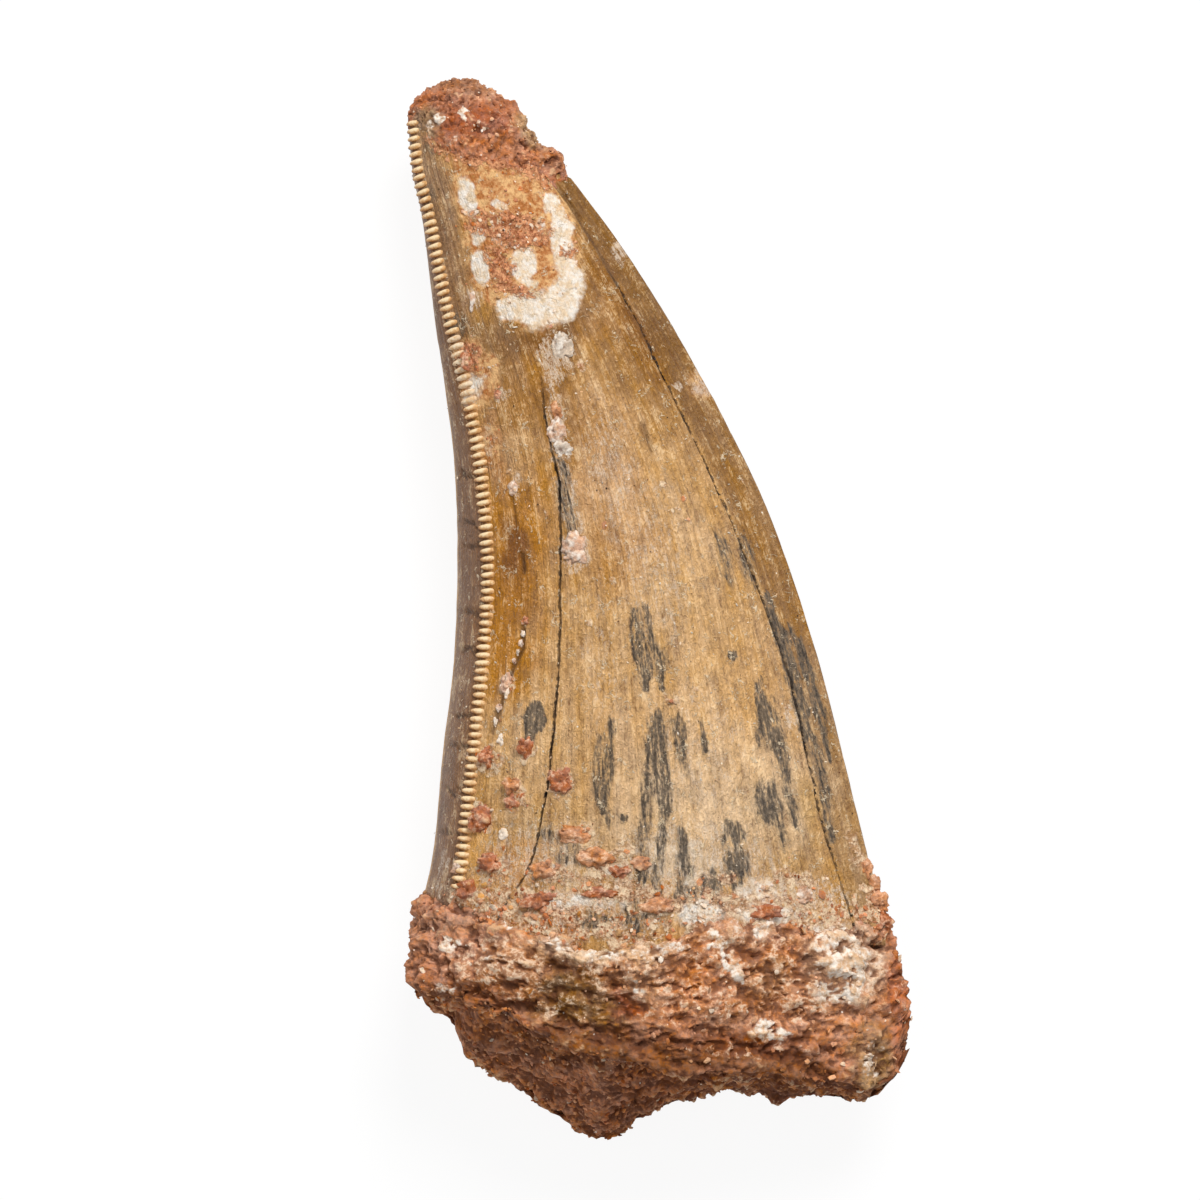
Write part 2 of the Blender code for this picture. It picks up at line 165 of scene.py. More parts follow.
@dataclass(frozen=True)
class Track:
    """A smooth curve through (place, value) pairs that never overshoots them."""

    points: tuple[Pair, ...]

    def __call__(self, place: Array | float) -> Array:
        """Return the value of the curve at each place.

        Args:
            place: one or many places along the curve.

        Returns:
            The values, in the shape of place.
        """
        at, value = np.array(self.points).T
        step = np.diff(at)
        slope = np.diff(value) / step
        tangent = np.concatenate([slope[:1], np.zeros(len(at) - 2), slope[-1:]])
        same = slope[:-1] * slope[1:] > 0
        before, after = 2 * step[1:] + step[:-1], step[1:] + 2 * step[:-1]
        steep = np.where(same, slope[:-1], 1.0), np.where(same, slope[1:], 1.0)
        tangent[1:-1] = np.where(same, (before + after) / (before / steep[0] + after / steep[1]), 0.0)
        place = np.clip(place, at[0], at[-1])
        i = np.clip(np.searchsorted(at, place, side="right") - 1, 0, len(step) - 1)
        t = (place - at[i]) / step[i]
        return (
            value[i] * (1 + 2 * t) * (1 - t) ** 2
            + tangent[i] * step[i] * t * (1 - t) ** 2
            + value[i + 1] * t * t * (3 - 2 * t)
            + tangent[i + 1] * step[i] * t * t * (t - 1)
        )


@dataclass(frozen=True)
class PhotoView:
    """How the photograph sees the tooth: from straight above, through a long lens."""

    pixels: int = 1200
    mm_per_pixel: float = 0.068
    middle: Pair = (-3.774, 0.646)
    sharp_height: float = 7.0
    lens: float = 400.0
    sensor: float = 36.0

    @property
    def distance(self) -> float:
        """Millimetres from the lens down to the height where one pixel measures mm_per_pixel."""
        return self.pixels * self.mm_per_pixel / self.sensor * self.lens

    def pixel_of(self, points: Array) -> Pixels:
        """Return the photo pixels (x, y) at which points in millimetres are seen.

        Args:
            points: last axis x, y, z.
        """
        nearer = self.distance / (self.distance - (points[..., 2] - self.sharp_height))
        across = (points[..., 0] - self.middle[0]) / self.mm_per_pixel * nearer
        up = (points[..., 1] - self.middle[1]) / self.mm_per_pixel * nearer
        return self.pixels / 2 + across, self.pixels / 2 - up

    def place_of(self, pixel: Pair, height: float) -> Pair:
        """Return x and y in millimetres of what is seen at a photo pixel at a known height.

        Args:
            pixel: photo x and y.
            height: z in millimetres.
        """
        farther = (self.distance - (height - self.sharp_height)) / self.distance * self.mm_per_pixel
        half = self.pixels / 2
        return self.middle[0] + (pixel[0] - half) * farther, self.middle[1] - (pixel[1] - half) * farther


@dataclass(frozen=True)
class ToothForm:
    """The tooth's measured shape: its outline from above, its heights and its ragged borders."""

    saw_edge: Track = Track((
        (-36.2, -15.6), (-25.2, -15.3), (-19.2, -13.7), (-11.3, -12.75), (-4.0, -12.0), (2.0, -11.6),
        (9.4, -12.1), (13.3, -12.75), (20.9, -14.5), (27.0, -15.7), (30.1, -16.4), (34.0, -16.75),
        (36.2, -16.8),
    ))
    back_bulge: Track = Track((
        (-36.2, -16.5), (-24.5, -16.45), (-22.5, -16.4), (-19.8, -15.8), (-17.0, -15.2), (-10.2, -14.5),
        (-3.4, -13.7), (3.0, -13.45), (10.2, -13.7), (14.3, -14.2), (19.7, -15.0), (27.0, -15.95),
        (30.1, -16.6), (36.2, -17.0),
    ))
    leading_edge: Track = Track((
        (-36.2, 16.6), (-29.3, 16.8), (-26.6, 17.0), (-22.5, 16.1), (-17.0, 14.5), (-10.2, 12.8),
        (-2.1, 10.7), (6.1, 7.9), (12.9, 4.7), (18.3, 1.7), (23.8, -1.7), (29.2, -5.6), (33.3, -8.9),
        (36.2, -12.0),
    ))
    long_crack: Track = Track((
        (-36.2, -13.0), (-21.1, -10.7), (-17.0, -8.4), (-9.0, -7.0), (0.0, -6.45), (7.7, -6.5),
        (13.0, -7.5), (19.0, -8.0), (24.0, -9.2), (30.0, -12.3), (36.2, -14.5),
    ))
    facet_crack: Track = Track((
        (-36.2, 14.2), (-23.2, 13.7), (-14.5, 11.3), (-4.1, 8.9), (4.6, 5.7), (14.3, 1.3), (23.5, -3.4),
        (30.1, -7.9), (36.2, -13.0),
    ))
    crest_z: Track = Track((
        (-36.2, 12.8), (-24.0, 14.8), (-11.0, 14.6), (0.0, 13.6), (10.0, 12.2), (20.0, 10.5), (30.0, 8.6),
        (36.2, 7.0),
    ))
    saw_z: Track = Track((
        (-36.2, 10.2), (-24.0, 11.0), (-11.0, 10.9), (0.0, 10.3), (10.0, 9.4), (20.0, 8.1), (30.0, 6.6),
        (36.2, 5.6),
    ))
    leading_z: Track = Track(((-36.2, 7.4), (-11.0, 7.3), (10.0, 6.9), (20.0, 6.4), (30.0, 5.7), (36.2, 5.2)))
    bulge_z: Track = Track(((-36.2, 6.6), (-11.0, 6.9), (10.0, 6.8), (20.0, 6.5), (30.0, 5.7), (36.2, 5.0)))
    belly_z: Track = Track((
        (-36.2, 4.2), (-30.0, 2.4), (-24.0, 1.0), (-17.5, 0.0), (-8.5, -0.5), (0.0, -0.1), (5.0, 0.4),
        (10.0, 1.0), (20.0, 2.2), (30.0, 3.2), (36.2, 3.9),
    ))
    root_break: Track = Track((
        (-17.5, -18.6), (-16.2, -19.1), (-14.1, -20.3), (-11.6, -21.1), (-7.9, -22.1), (-3.8, -23.0),
        (0.3, -22.6), (3.0, -21.6), (7.1, -21.3), (11.2, -21.8), (15.8, -21.7), (17.5, -21.6),
    ))
    tip_break: Track = Track((
        (-17.3, 33.9), (-16.4, 33.5), (-15.5, 32.3), (-13.6, 31.3), (-10.8, 30.6), (-7.9, 30.0),
        (-6.5, 29.5), (-5.0, 29.0),
    ))
    crust_top: Track = Track((
        (-17.0, 34.3), (-16.3, 34.9), (-15.4, 35.5), (-14.1, 36.1), (-13.2, 36.2), (-12.1, 36.0),
        (-10.9, 35.3), (-9.8, 34.6), (-9.0, 33.4), (-7.9, 31.9), (-7.2, 31.5), (-6.5, 31.2), (-6.0, 30.5),
    ))
    matrix_back: Track = Track((
        (-17.5, -24.3), (-16.4, -24.8), (-15.2, -27.2), (-13.8, -28.0), (-12.4, -30.7), (-10.1, -32.0),
        (-7.9, -33.7), (-6.3, -34.9), (-3.4, -36.1), (-0.9, -34.7), (1.7, -33.6), (4.4, -32.9),
        (9.8, -33.2), (14.3, -33.8), (16.0, -32.0), (17.2, -29.5),
    ))
    matrix_rim: Track = Track((
        (-17.5, -24.6), (-15.3, -25.5), (-10.6, -27.2), (-6.5, -29.3), (-1.1, -30.8), (4.4, -31.3),
        (15.3, -31.8), (17.2, -29.6),
    ))
    rim_z: float = 12.4
    underside_z: float = 3.5
    crest_at: float = 0.42
    front_power: float = 2.1
    facet_step: float = 0.2
    crack_width: float = 0.26
    belly_at: float = 0.45
    belly_power: float = 2.2

    def front_height(self, x: Array, y: Array) -> Array:
        """Return z of the front face: a convex arch from the saw edge to the leading edge.

        Args:
            x: places across in millimetres.
            y: places along in millimetres.
        """
        left, right = self.saw_edge(y), self.leading_edge(y)
        across = np.clip((x - left) / (right - left), 0.0, 1.0)
        saw, leading = self.saw_z(y), self.leading_z(y)
        rise = self.crest_z(y) - blend(saw, leading, self.crest_at)
        reach = np.where(across < self.crest_at, self.crest_at, 1 - self.crest_at)
        arch = 1 - np.abs((across - self.crest_at) / reach) ** self.front_power
        facet_at = self.facet_crack(y)
        facet = self.facet_step * smooth_step(x - facet_at, 0.0, self.crack_width)
        return blend(saw, leading, across) + rise * arch - facet * smooth_step(right - x, 0.0, 1.0)

    def strip(self, share: Array, y: Array) -> tuple[Array, Array]:
        """Return x and z down the strip of the back that shows past the saw edge, from 0 to 1.

        Args:
            share: share of the way down.
            y: places along in millimetres.
        """
        turn = share * math.pi / 2
        left, bulge, low = self.saw_edge(y), self.back_bulge(y), self.bulge_z(y)
        return left - (left - bulge) * np.sin(turn) ** 1.4, low + (self.saw_z(y) - low) * np.cos(turn) ** 1.4

    def belly_from_bulge(self, share: Array, y: Array) -> tuple[Array, Array]:
        """Return x and z from the bulge round to the lowest line of the belly.

        Args:
            share: share of the way, from 0 to 1.
            y: places along in millimetres.
        """
        turn = share * math.pi / 2
        bulge, belly = self.back_bulge(y), self.belly_z(y)
        middle = blend(bulge, self.leading_edge(y), self.belly_at)
        x = middle + (bulge - middle) * np.clip(np.cos(turn), 0.0, 1.0) ** 0.85
        return x, belly + (self.bulge_z(y) - belly) * (1 - np.sin(turn) ** 0.85)

    def belly_to_edge(self, share: Array, y: Array) -> tuple[Array, Array]:
        """Return x and z from the lowest line of the belly up to the leading edge, from 0 to 1.

        Args:
            share: share of the way up.
            y: places along in millimetres.
        """
        belly, right = self.belly_z(y), self.leading_edge(y)
        middle = blend(self.back_bulge(y), right, self.belly_at)
        return blend(middle, right, share), belly + (self.leading_z(y) - belly) * share**self.belly_power

    def root_underside(self, x: Array, z: Array) -> Array:
        """Return y of the slanting underside of the root sandstone."""
        slant = smooth_step(z, self.underside_z, self.rim_z)
        return blend(self.matrix_back(x), self.matrix_rim(x), slant)


VIEW = PhotoView()
FORM = ToothForm()


@dataclass(frozen=True)
class Mark:
    """One named marking, an ellipse in photo pixels."""

    at: Pair
    half: Pair
    strength: float = 1.0
    soft: float = 0.35
    lean: float = 0.0

    def cover(self, px: Array, py: Array) -> Array:
        """Return how strongly each photo pixel is covered, 0 to strength.

        Args:
            px: photo x of each point.
            py: photo y of each point.
        """
        turn = math.radians(self.lean)
        dx, dy = px - self.at[0], py - self.at[1]
        across = (dx * math.cos(turn) + dy * math.sin(turn)) / self.half[0]
        along = (dy * math.cos(turn) - dx * math.sin(turn)) / self.half[1]
        return self.strength * (1 - smooth_step(np.hypot(across, along), 1 - self.soft, 1 + self.soft))


@dataclass(frozen=True)
class Wash:
    """A broad tint of a stretch of surface, with the sizes of its mark, laid over what is under it."""

    colour: str
    at: Pair
    half: Pair
    strength: float
    soft: float = 0.6
    lean: float = 0.0


@dataclass(frozen=True)
class Region:
    """An area inside a closed outline of photo pixels."""

    outline: tuple[Pair, ...]
    soft: float = 4.0

    def cover(self, px: Array, py: Array) -> Array:
        """Return 1 inside the outline, 0 outside and a smooth border soft pixels wide to each side.

        Args:
            px: photo x of each point.
            py: photo y of each point.
        """
        inside = np.zeros(px.shape, bool)
        nearest = np.full(px.shape, np.inf)
        ends = self.outline[1:] + self.outline[:1]
        for (ax, ay), (bx, by) in zip(self.outline, ends):
            crosses = ((ay > py) != (by > py)) & (px < ax + (py - ay) * (bx - ax) / (by - ay + TINY))
            inside ^= crosses
            run = ((px - ax) * (bx - ax) + (py - ay) * (by - ay)) / ((bx - ax) ** 2 + (by - ay) ** 2)
            run = np.clip(run, 0.0, 1.0)
            nearest = np.minimum(nearest, np.hypot(px - ax - run * (bx - ax), py - ay - run * (by - ay)))
        signed = np.where(inside, nearest, -nearest)
        return smooth_step(signed, -self.soft, self.soft)


@dataclass(frozen=True)
class Stroke:
    """A line of photo pixels with a half width in pixels at each point."""

    path: tuple[tuple[float, float, float], ...]
    strength: float = 1.0
    soft: float = 0.5

    def cover(self, px: Array, py: Array) -> Array:
        """Return how strongly each photo pixel is covered, 0 to strength.

        Args:
            px: photo x of each point.
            py: photo y of each point.
        """
        best = np.zeros(px.shape)
        for (ax, ay, aw), (bx, by, bw) in zip(self.path, self.path[1:]):
            run = ((px - ax) * (bx - ax) + (py - ay) * (by - ay)) / ((bx - ax) ** 2 + (by - ay) ** 2)
            run = np.clip(run, 0.0, 1.0)
            away = np.hypot(px - ax - run * (bx - ax), py - ay - run * (by - ay)) / blend(aw, bw, run)
            best = np.maximum(best, 1 - smooth_step(away, 1 - self.soft, 1 + self.soft))
        return self.strength * best


Marks = tuple[Mark | Stroke, ...]


def most_of(marks: Marks, px: Array, py: Array) -> Array:
    """Return the strongest cover that any of the marks gives at each photo pixel.

    Args:
        marks: the marks.
        px: photo x of each point.
        py: photo y of each point.
    """
    best = np.zeros(px.shape)
    for mark in marks:
        best = np.maximum(best, mark.cover(px, py))
    return best


def washed(base: str, washes: Sequence[Wash], px: Array, py: Array) -> Array:
    """Lay broad tints over a base colour.

    Args:
        base: hex colour of the surface.
        washes: tints, the later ones over the earlier.
        px: photo x of each point.
        py: photo y of each point.

    Returns:
        Linear colours, one row of four for each point.
    """
    colour = np.empty((*px.shape, 4))
    colour[...] = linear(base)
    for wash in washes:
        mark = Mark(wash.at, wash.half, wash.strength, wash.soft, wash.lean)
        colour = blend(colour, np.array(linear(wash.colour)), mark.cover(px, py)[..., None])
    return colour


def deselect_all() -> None:
    """Leave nothing selected, so that an operator acts only on the piece being made."""
    if bpy.context.mode != "OBJECT":
        bpy.ops.object.mode_set(mode="OBJECT")
    bpy.ops.object.select_all(action="DESELECT")


def outward(points: Array, known: tuple[int, int, int]) -> Array:
    """Return the unit normals of a wrapped grid, whose columns run round and whose rows run along.

    Args:
        points: places, rows by columns by 3.
        known: row, column and axis of a number that is above 0 where the normals point outward.
    """
    wrapped = np.concatenate([points[:, -2:-1], points, points[:, 1:2]], axis=1)
    round_way = (wrapped[:, 2:] - wrapped[:, :-2]) / 2
    along_way = np.gradient(points, axis=0)
    normal = np.cross(round_way, along_way)
    normal /= np.maximum(np.linalg.norm(normal, axis=-1, keepdims=True), TINY)
    return normal if normal[known] > 0 else -normal


def places_of(piece: Object) -> Array:
    """Return the places of a piece's vertices, one row each.

    Args:
        piece: the piece.
    """
    flat = np.empty(len(piece.data.vertices) * 3)
    piece.data.vertices.foreach_get("co", flat)
    return flat.reshape(-1, 3)


def joined(name: str, parts: Sequence[Object], finish: Material) -> Object:
    """Return all parts as one smooth piece with a name and a finish.

    Args:
        name: name of the piece.
        parts: objects to join.
        finish: the material.
    """
    deselect_all()
    for part in parts:
        part.select_set(True)
    bpy.context.view_layer.objects.active = parts[0]
    bpy.ops.object.join()
    piece = bpy.context.object
    piece.name = piece.data.name = name
    piece.data.materials.append(finish)
    bpy.ops.object.shade_smooth()
    return piece


def add_skin(name: str, points: Array, paints: Paints, finish: Material) -> Object:
    """Wrap a grid round a form and close its seam and its ends.

    Args:
        name: name of the piece.
        points: places in millimetres, rows by columns by 3, with the last column on the first.
        paints: values to store on the vertices, as one number, a vector or a colour each.
        finish: the material.

    Returns:
        The piece, closed, with its faces outward.
    """
    rows, columns = points.shape[:2]
    deselect_all()
    bpy.ops.mesh.primitive_grid_add(x_subdivisions=columns - 1, y_subdivisions=rows - 1, size=2.0)
    skin = bpy.context.object
    skin.name = skin.data.name = name
    skin.data.uv_layers[0].name = BAKE_MAP
    flat = places_of(skin)
    column = np.rint((flat[:, 0] + 1) / 2 * (columns - 1)).astype(int)
    row = np.rint((flat[:, 1] + 1) / 2 * (rows - 1)).astype(int)
    skin.data.vertices.foreach_set("co", (points[row, column] * MM).ravel())
    for title, values in paints.items():
        store(skin, title, values[row, column])
    bpy.ops.object.mode_set(mode="EDIT")
    bpy.ops.mesh.select_all(action="SELECT")
    bpy.ops.mesh.remove_doubles(threshold=MERGE_MM * MM)
    bpy.ops.mesh.normals_make_consistent(inside=False)
    bpy.ops.object.mode_set(mode="OBJECT")
    bpy.ops.object.shade_smooth()
    skin.data.materials.append(finish)
    return skin


def store(piece: Object, title: str, values: Array) -> None:
    """Store one number, a vector or a colour on each vertex of a piece under a title.

    Args:
        piece: the piece.
        title: name of the attribute.
        values: one row for each vertex.
    """
    width = 1 if values.ndim == 1 else values.shape[-1]
    kind, key = {1: ("FLOAT", "value"), 3: ("FLOAT_VECTOR", "vector"), 4: ("FLOAT_COLOR", "color")}[width]
    layer = piece.data.attributes.new(title, kind, "POINT")
    layer.data.foreach_set(key, values.astype(np.float32).ravel())


class Shading:
    """A material in the making: its nodes and its coordinates in millimetres.

    One set of coordinates, space, is the object's own. The other, flow, follows the tooth's growth lines.
    """

    def __init__(self, name: str) -> None:
        """Start a material.

        Args:
            name: its name.
        """
        self.material = bpy.data.materials.new(name)
        self.material.use_nodes = True
        self.tree = self.material.node_tree
        self.tree.nodes.clear()
        own = self.add("TexCoord", {}, "Object")
        self.space = self.add("Mapping", {"Scale": (1 / MM,) * 3, "Vector": own})
        self.flow = self.add("Attribute", {"attribute_name": "flow"}, "Vector")

    def add(self, kind: str, settings: dict, out: int | str = 0) -> Socket:
        """Add a node with its settings and links.

        Args:
            kind: Blender's name of the node type, without its first part, ShaderNode.
            settings: by name or number, what feeds or fills each socket or property; "stops" fills a ramp.
            out: the name or number of the output socket that is wanted.

        Returns:
            The output socket.
        """
        node = self.tree.nodes.new("ShaderNode" + kind)
        for key, value in settings.items():
            if isinstance(value, Socket):
                self.tree.links.new(value, node.inputs[key])
            elif key == "stops":
                for _ in range(len(value) - 2):
                    node.color_ramp.elements.new(0.5)
                for stop, (position, colour) in zip(node.color_ramp.elements, value):
                    stop.position = position
                    stop.color = linear(colour)
            elif isinstance(key, int) or key in node.inputs:
                node.inputs[key].default_value = value
            else:
                setattr(node, key, value)
        return node.outputs[out]

    def summed(self, start: float, grains: Sequence["Grain"]) -> Socket:
        """Return start plus all the grains.

        Args:
            start: a number.
            grains: what is added to it.
        """
        first, *rest = [grain.lay(self) for grain in grains]
        total = self.add("Math", {"operation": "ADD", 0: first, 1: start})
        for grain in rest:
            total = self.add("Math", {"operation": "ADD", 0: total, 1: grain})
        return total

    def tinted(self, value: Socket, warm: Sequence["Grain"], poor: float, rich: float) -> Socket:
        """Return the painted wash with its natural variation.

        Args:
            value: how light each place is.
            warm: grains that make the wash more or less rich.
            poor: least saturation.
            rich: most saturation.
        """
        wash = self.add("Attribute", {"attribute_name": "wash"}, "Color")
        warmth = {"Value": self.summed(1.0, warm), "From Min": 0.1, "From Max": 1.9}
        richness = self.add("MapRange", {**warmth, "To Min": poor, "To Max": rich})
        return self.add("HueSaturation", {"Color": wash, "Value": value, "Saturation": richness})

    def rippled(self, colour: Socket, level: Socket, ripples: Sequence[Ripple], rise: str) -> Socket:
        """Return a colour with others laid over it where a level is high or low.

        Args:
            colour: the colour so far.
            level: the level.
            ripples: hex colour, level where it begins, level where it is full, and its share there.
            rise: how the share rises, in Blender's word.
        """
        for shade, low, high, most in ripples:
            share = {"interpolation_type": rise, "From Min": low, "From Max": high, "To Max": most}
            cover = self.add("MapRange", {"Value": level, **share})
            colour = self.add("Mix", {"data_type": "RGBA", 0: cover, 6: colour, 7: linear(shade)}, 2)
        return colour

    def finished(
        self, colour: Socket, dull: Socket | float, shine: float, height: Socket, strength: float,
        depth: float,
    ) -> Material:
        """Return the material, with a shader and its bump.

        Args:
            colour: the surface's colour.
            dull: roughness.
            shine: level of the mirror-like share.
            height: height that makes the bump.
            strength: strength of the bump.
            depth: depth of the bump in millimetres.
        """
        bump = self.add("Bump", {"Strength": strength, "Distance": depth * MM, "Height": height})
        shader = self.add("BsdfPrincipled", {
            "Base Color": colour, "Roughness": dull, "IOR": 1.5, "Specular IOR Level": shine, "Normal": bump,
        })
        output = self.tree.nodes.new("ShaderNodeOutputMaterial")
        self.tree.links.new(shader, output.inputs["Surface"])
        return self.material


@dataclass(frozen=True)
class Grain:
    """One scale of natural variation: its lump sizes in millimetres and how much lighter or darker it goes.

    Along says whether it follows the growth lines.
    """

    sizes: tuple[float, float, float]
    gain: float
    along: bool = False
    detail: float = 3.0
    low: float = 0.36
    high: float = 0.64
    curl: float = 0.0

    def lay(self, made: Shading) -> Socket:
        """Return this grain, from -gain to gain.

        Args:
            made: the material in the making.
        """
        vector = made.flow if self.along else made.space
        scaled = made.add("Mapping", {"Scale": tuple(1 / size for size in self.sizes), "Vector": vector})
        lumps = made.add("TexNoise", {
            "Scale": 1.0, "Detail": self.detail, "Roughness": 0.6, "Distortion": self.curl, "Vector": scaled,
        })
        reach = {"To Min": -self.gain, "To Max": self.gain}
        return made.add("MapRange", {"Value": lumps, "From Min": self.low, "From Max": self.high, **reach})


@dataclass(frozen=True)
class Stain:
    """A marking of the finish: where its attribute is painted, the grain decides how ragged it lies."""

    attribute: str
    thin: str
    thick: str
    coarse: Grain
    fine: Grain
    edge: float = 0.12
    most: float = 1.0

    def lay(self, made: Shading, under: Socket) -> tuple[Socket, Socket]:
        """Return the colour with the stain over it, and the stain's cover.

        Args:
            made: the material in the making.
            under: the colour so far.
        """
        painted = made.add("Attribute", {"attribute_name": self.attribute}, "Fac")
        ragged = made.add("Math", {"operation": "ADD", 0: self.coarse.lay(made), 1: self.fine.lay(made)})
        level = made.add("Math", {"operation": "MULTIPLY_ADD", 0: painted, 1: ragged, 2: painted})
        border = {"From Min": 0.5 - self.edge, "From Max": 0.5 + self.edge, "To Max": self.most}
        cover = made.add("MapRange", {"interpolation_type": "SMOOTHSTEP", "Value": level, **border})
        spread = 0.5 * (self.coarse.gain + self.fine.gain)
        tone = made.add("MapRange", {"Value": ragged, "From Min": -spread, "From Max": spread})
        thin, thick = linear(self.thin), linear(self.thick)
        shade = made.add("Mix", {"data_type": "RGBA", 0: tone, 6: thin, 7: thick}, 2)
        return made.add("Mix", {"data_type": "RGBA", 0: cover, 6: under, 7: shade}, 2), cover


@dataclass(frozen=True)
class Specks:
    """Round specks scattered over a finish."""

    apart: float
    radius: float
    share: float
    colour: str

    def lay(self, made: Shading, under: Socket) -> Socket:
        """Return the colour with the specks on it.

        Args:
            made: the material in the making.
            under: the colour so far.
        """
        scaled = made.add("Mapping", {"Scale": (1 / self.apart,) * 3, "Vector": made.space})
        away = made.add("TexVoronoi", {"Scale": 1.0, "Vector": scaled}, "Distance")
        number = away.node.outputs["Color"]
        chosen = made.add("Math", {"operation": "LESS_THAN", 0: number, 1: self.share})
        edge = self.radius / self.apart
        near = made.add("MapRange", {"Value": away, "From Min": edge * 1.3, "From Max": edge * 0.7})
        cover = made.add("Math", {"operation": "MULTIPLY", 0: chosen, 1: near})
        return made.add("Mix", {"data_type": "RGBA", 0: cover, 6: under, 7: linear(self.colour)}, 2)


@dataclass(frozen=True)
class Curls:
    """Thin pale curls of lime on the enamel, a little coarser than real ones, to show from a step away."""

    size: float = 0.55
    half: float = 0.04
    colour: str = "#f0d9b6"
    most: float = 0.75
    bare: float = 0.45
    full: float = 0.8
    where: Grain = Grain((0.8, 1.1, 0.8), 0.9)

    def lay(self, made: Shading, under: Socket) -> tuple[Socket, Socket]:
        """Return the colour with the curls on it, and their cover.

        Args:
            made: the material in the making.
            under: the colour so far.
        """
        scaled = made.add("Mapping", {"Scale": (1 / self.size,) * 3, "Vector": made.space})
        folds = made.add("TexNoise", {"Scale": 1.0, "Detail": 2.0, "Distortion": 0.8, "Vector": scaled})
        away = made.add("Math", {"operation": "SUBTRACT", 0: folds, 1: 0.5})
        away = made.add("Math", {"operation": "ABSOLUTE", 0: away})
        thin = {"From Min": self.half, "From Max": self.half * 0.3}
        line = made.add("MapRange", {"interpolation_type": "SMOOTHSTEP", "Value": away, **thin})
        where = self.where.lay(made)
        here = made.add("MapRange", {"Value": where, "From Min": self.bare, "From Max": self.full})
        both = made.add("Math", {"operation": "MULTIPLY", 0: line, 1: here})
        cover = made.add("Math", {"operation": "MULTIPLY", 0: both, 1: self.most})
        return made.add("Mix", {"data_type": "RGBA", 0: cover, 6: under, 7: linear(self.colour)}, 2), cover


@dataclass(frozen=True)
class CrackLine:
    """The dark line of an open crack; its attribute holds the distance from the crack and how open it is."""

    attribute: str
    half: float
    colour: str = "#20130b"
    wear: Grain = Grain((0.35, 0.35, 0.35), 0.055)

    def lay(self, made: Shading, under: Socket) -> Socket:
        """Return the colour with the crack on it.

        Args:
            made: the material in the making.
            under: the colour so far.
        """
        measured = made.add("Attribute", {"attribute_name": self.attribute}, "Vector")
        beside = made.add("SeparateXYZ", {0: measured})
        away = made.add("Math", {"operation": "ABSOLUTE", 0: beside})
        away = made.add("Math", {"operation": "ADD", 0: away, 1: self.wear.lay(made)})
        border = {"From Min": self.half * 1.35, "From Max": self.half * 0.6}
        inside = made.add("MapRange", {"interpolation_type": "SMOOTHSTEP", "Value": away, **border})
        cover = made.add("Math", {"operation": "MULTIPLY", 0: inside, 1: beside.node.outputs[1]})
        return made.add("Mix", {"data_type": "RGBA", 0: cover, 6: under, 7: linear(self.colour)}, 2)


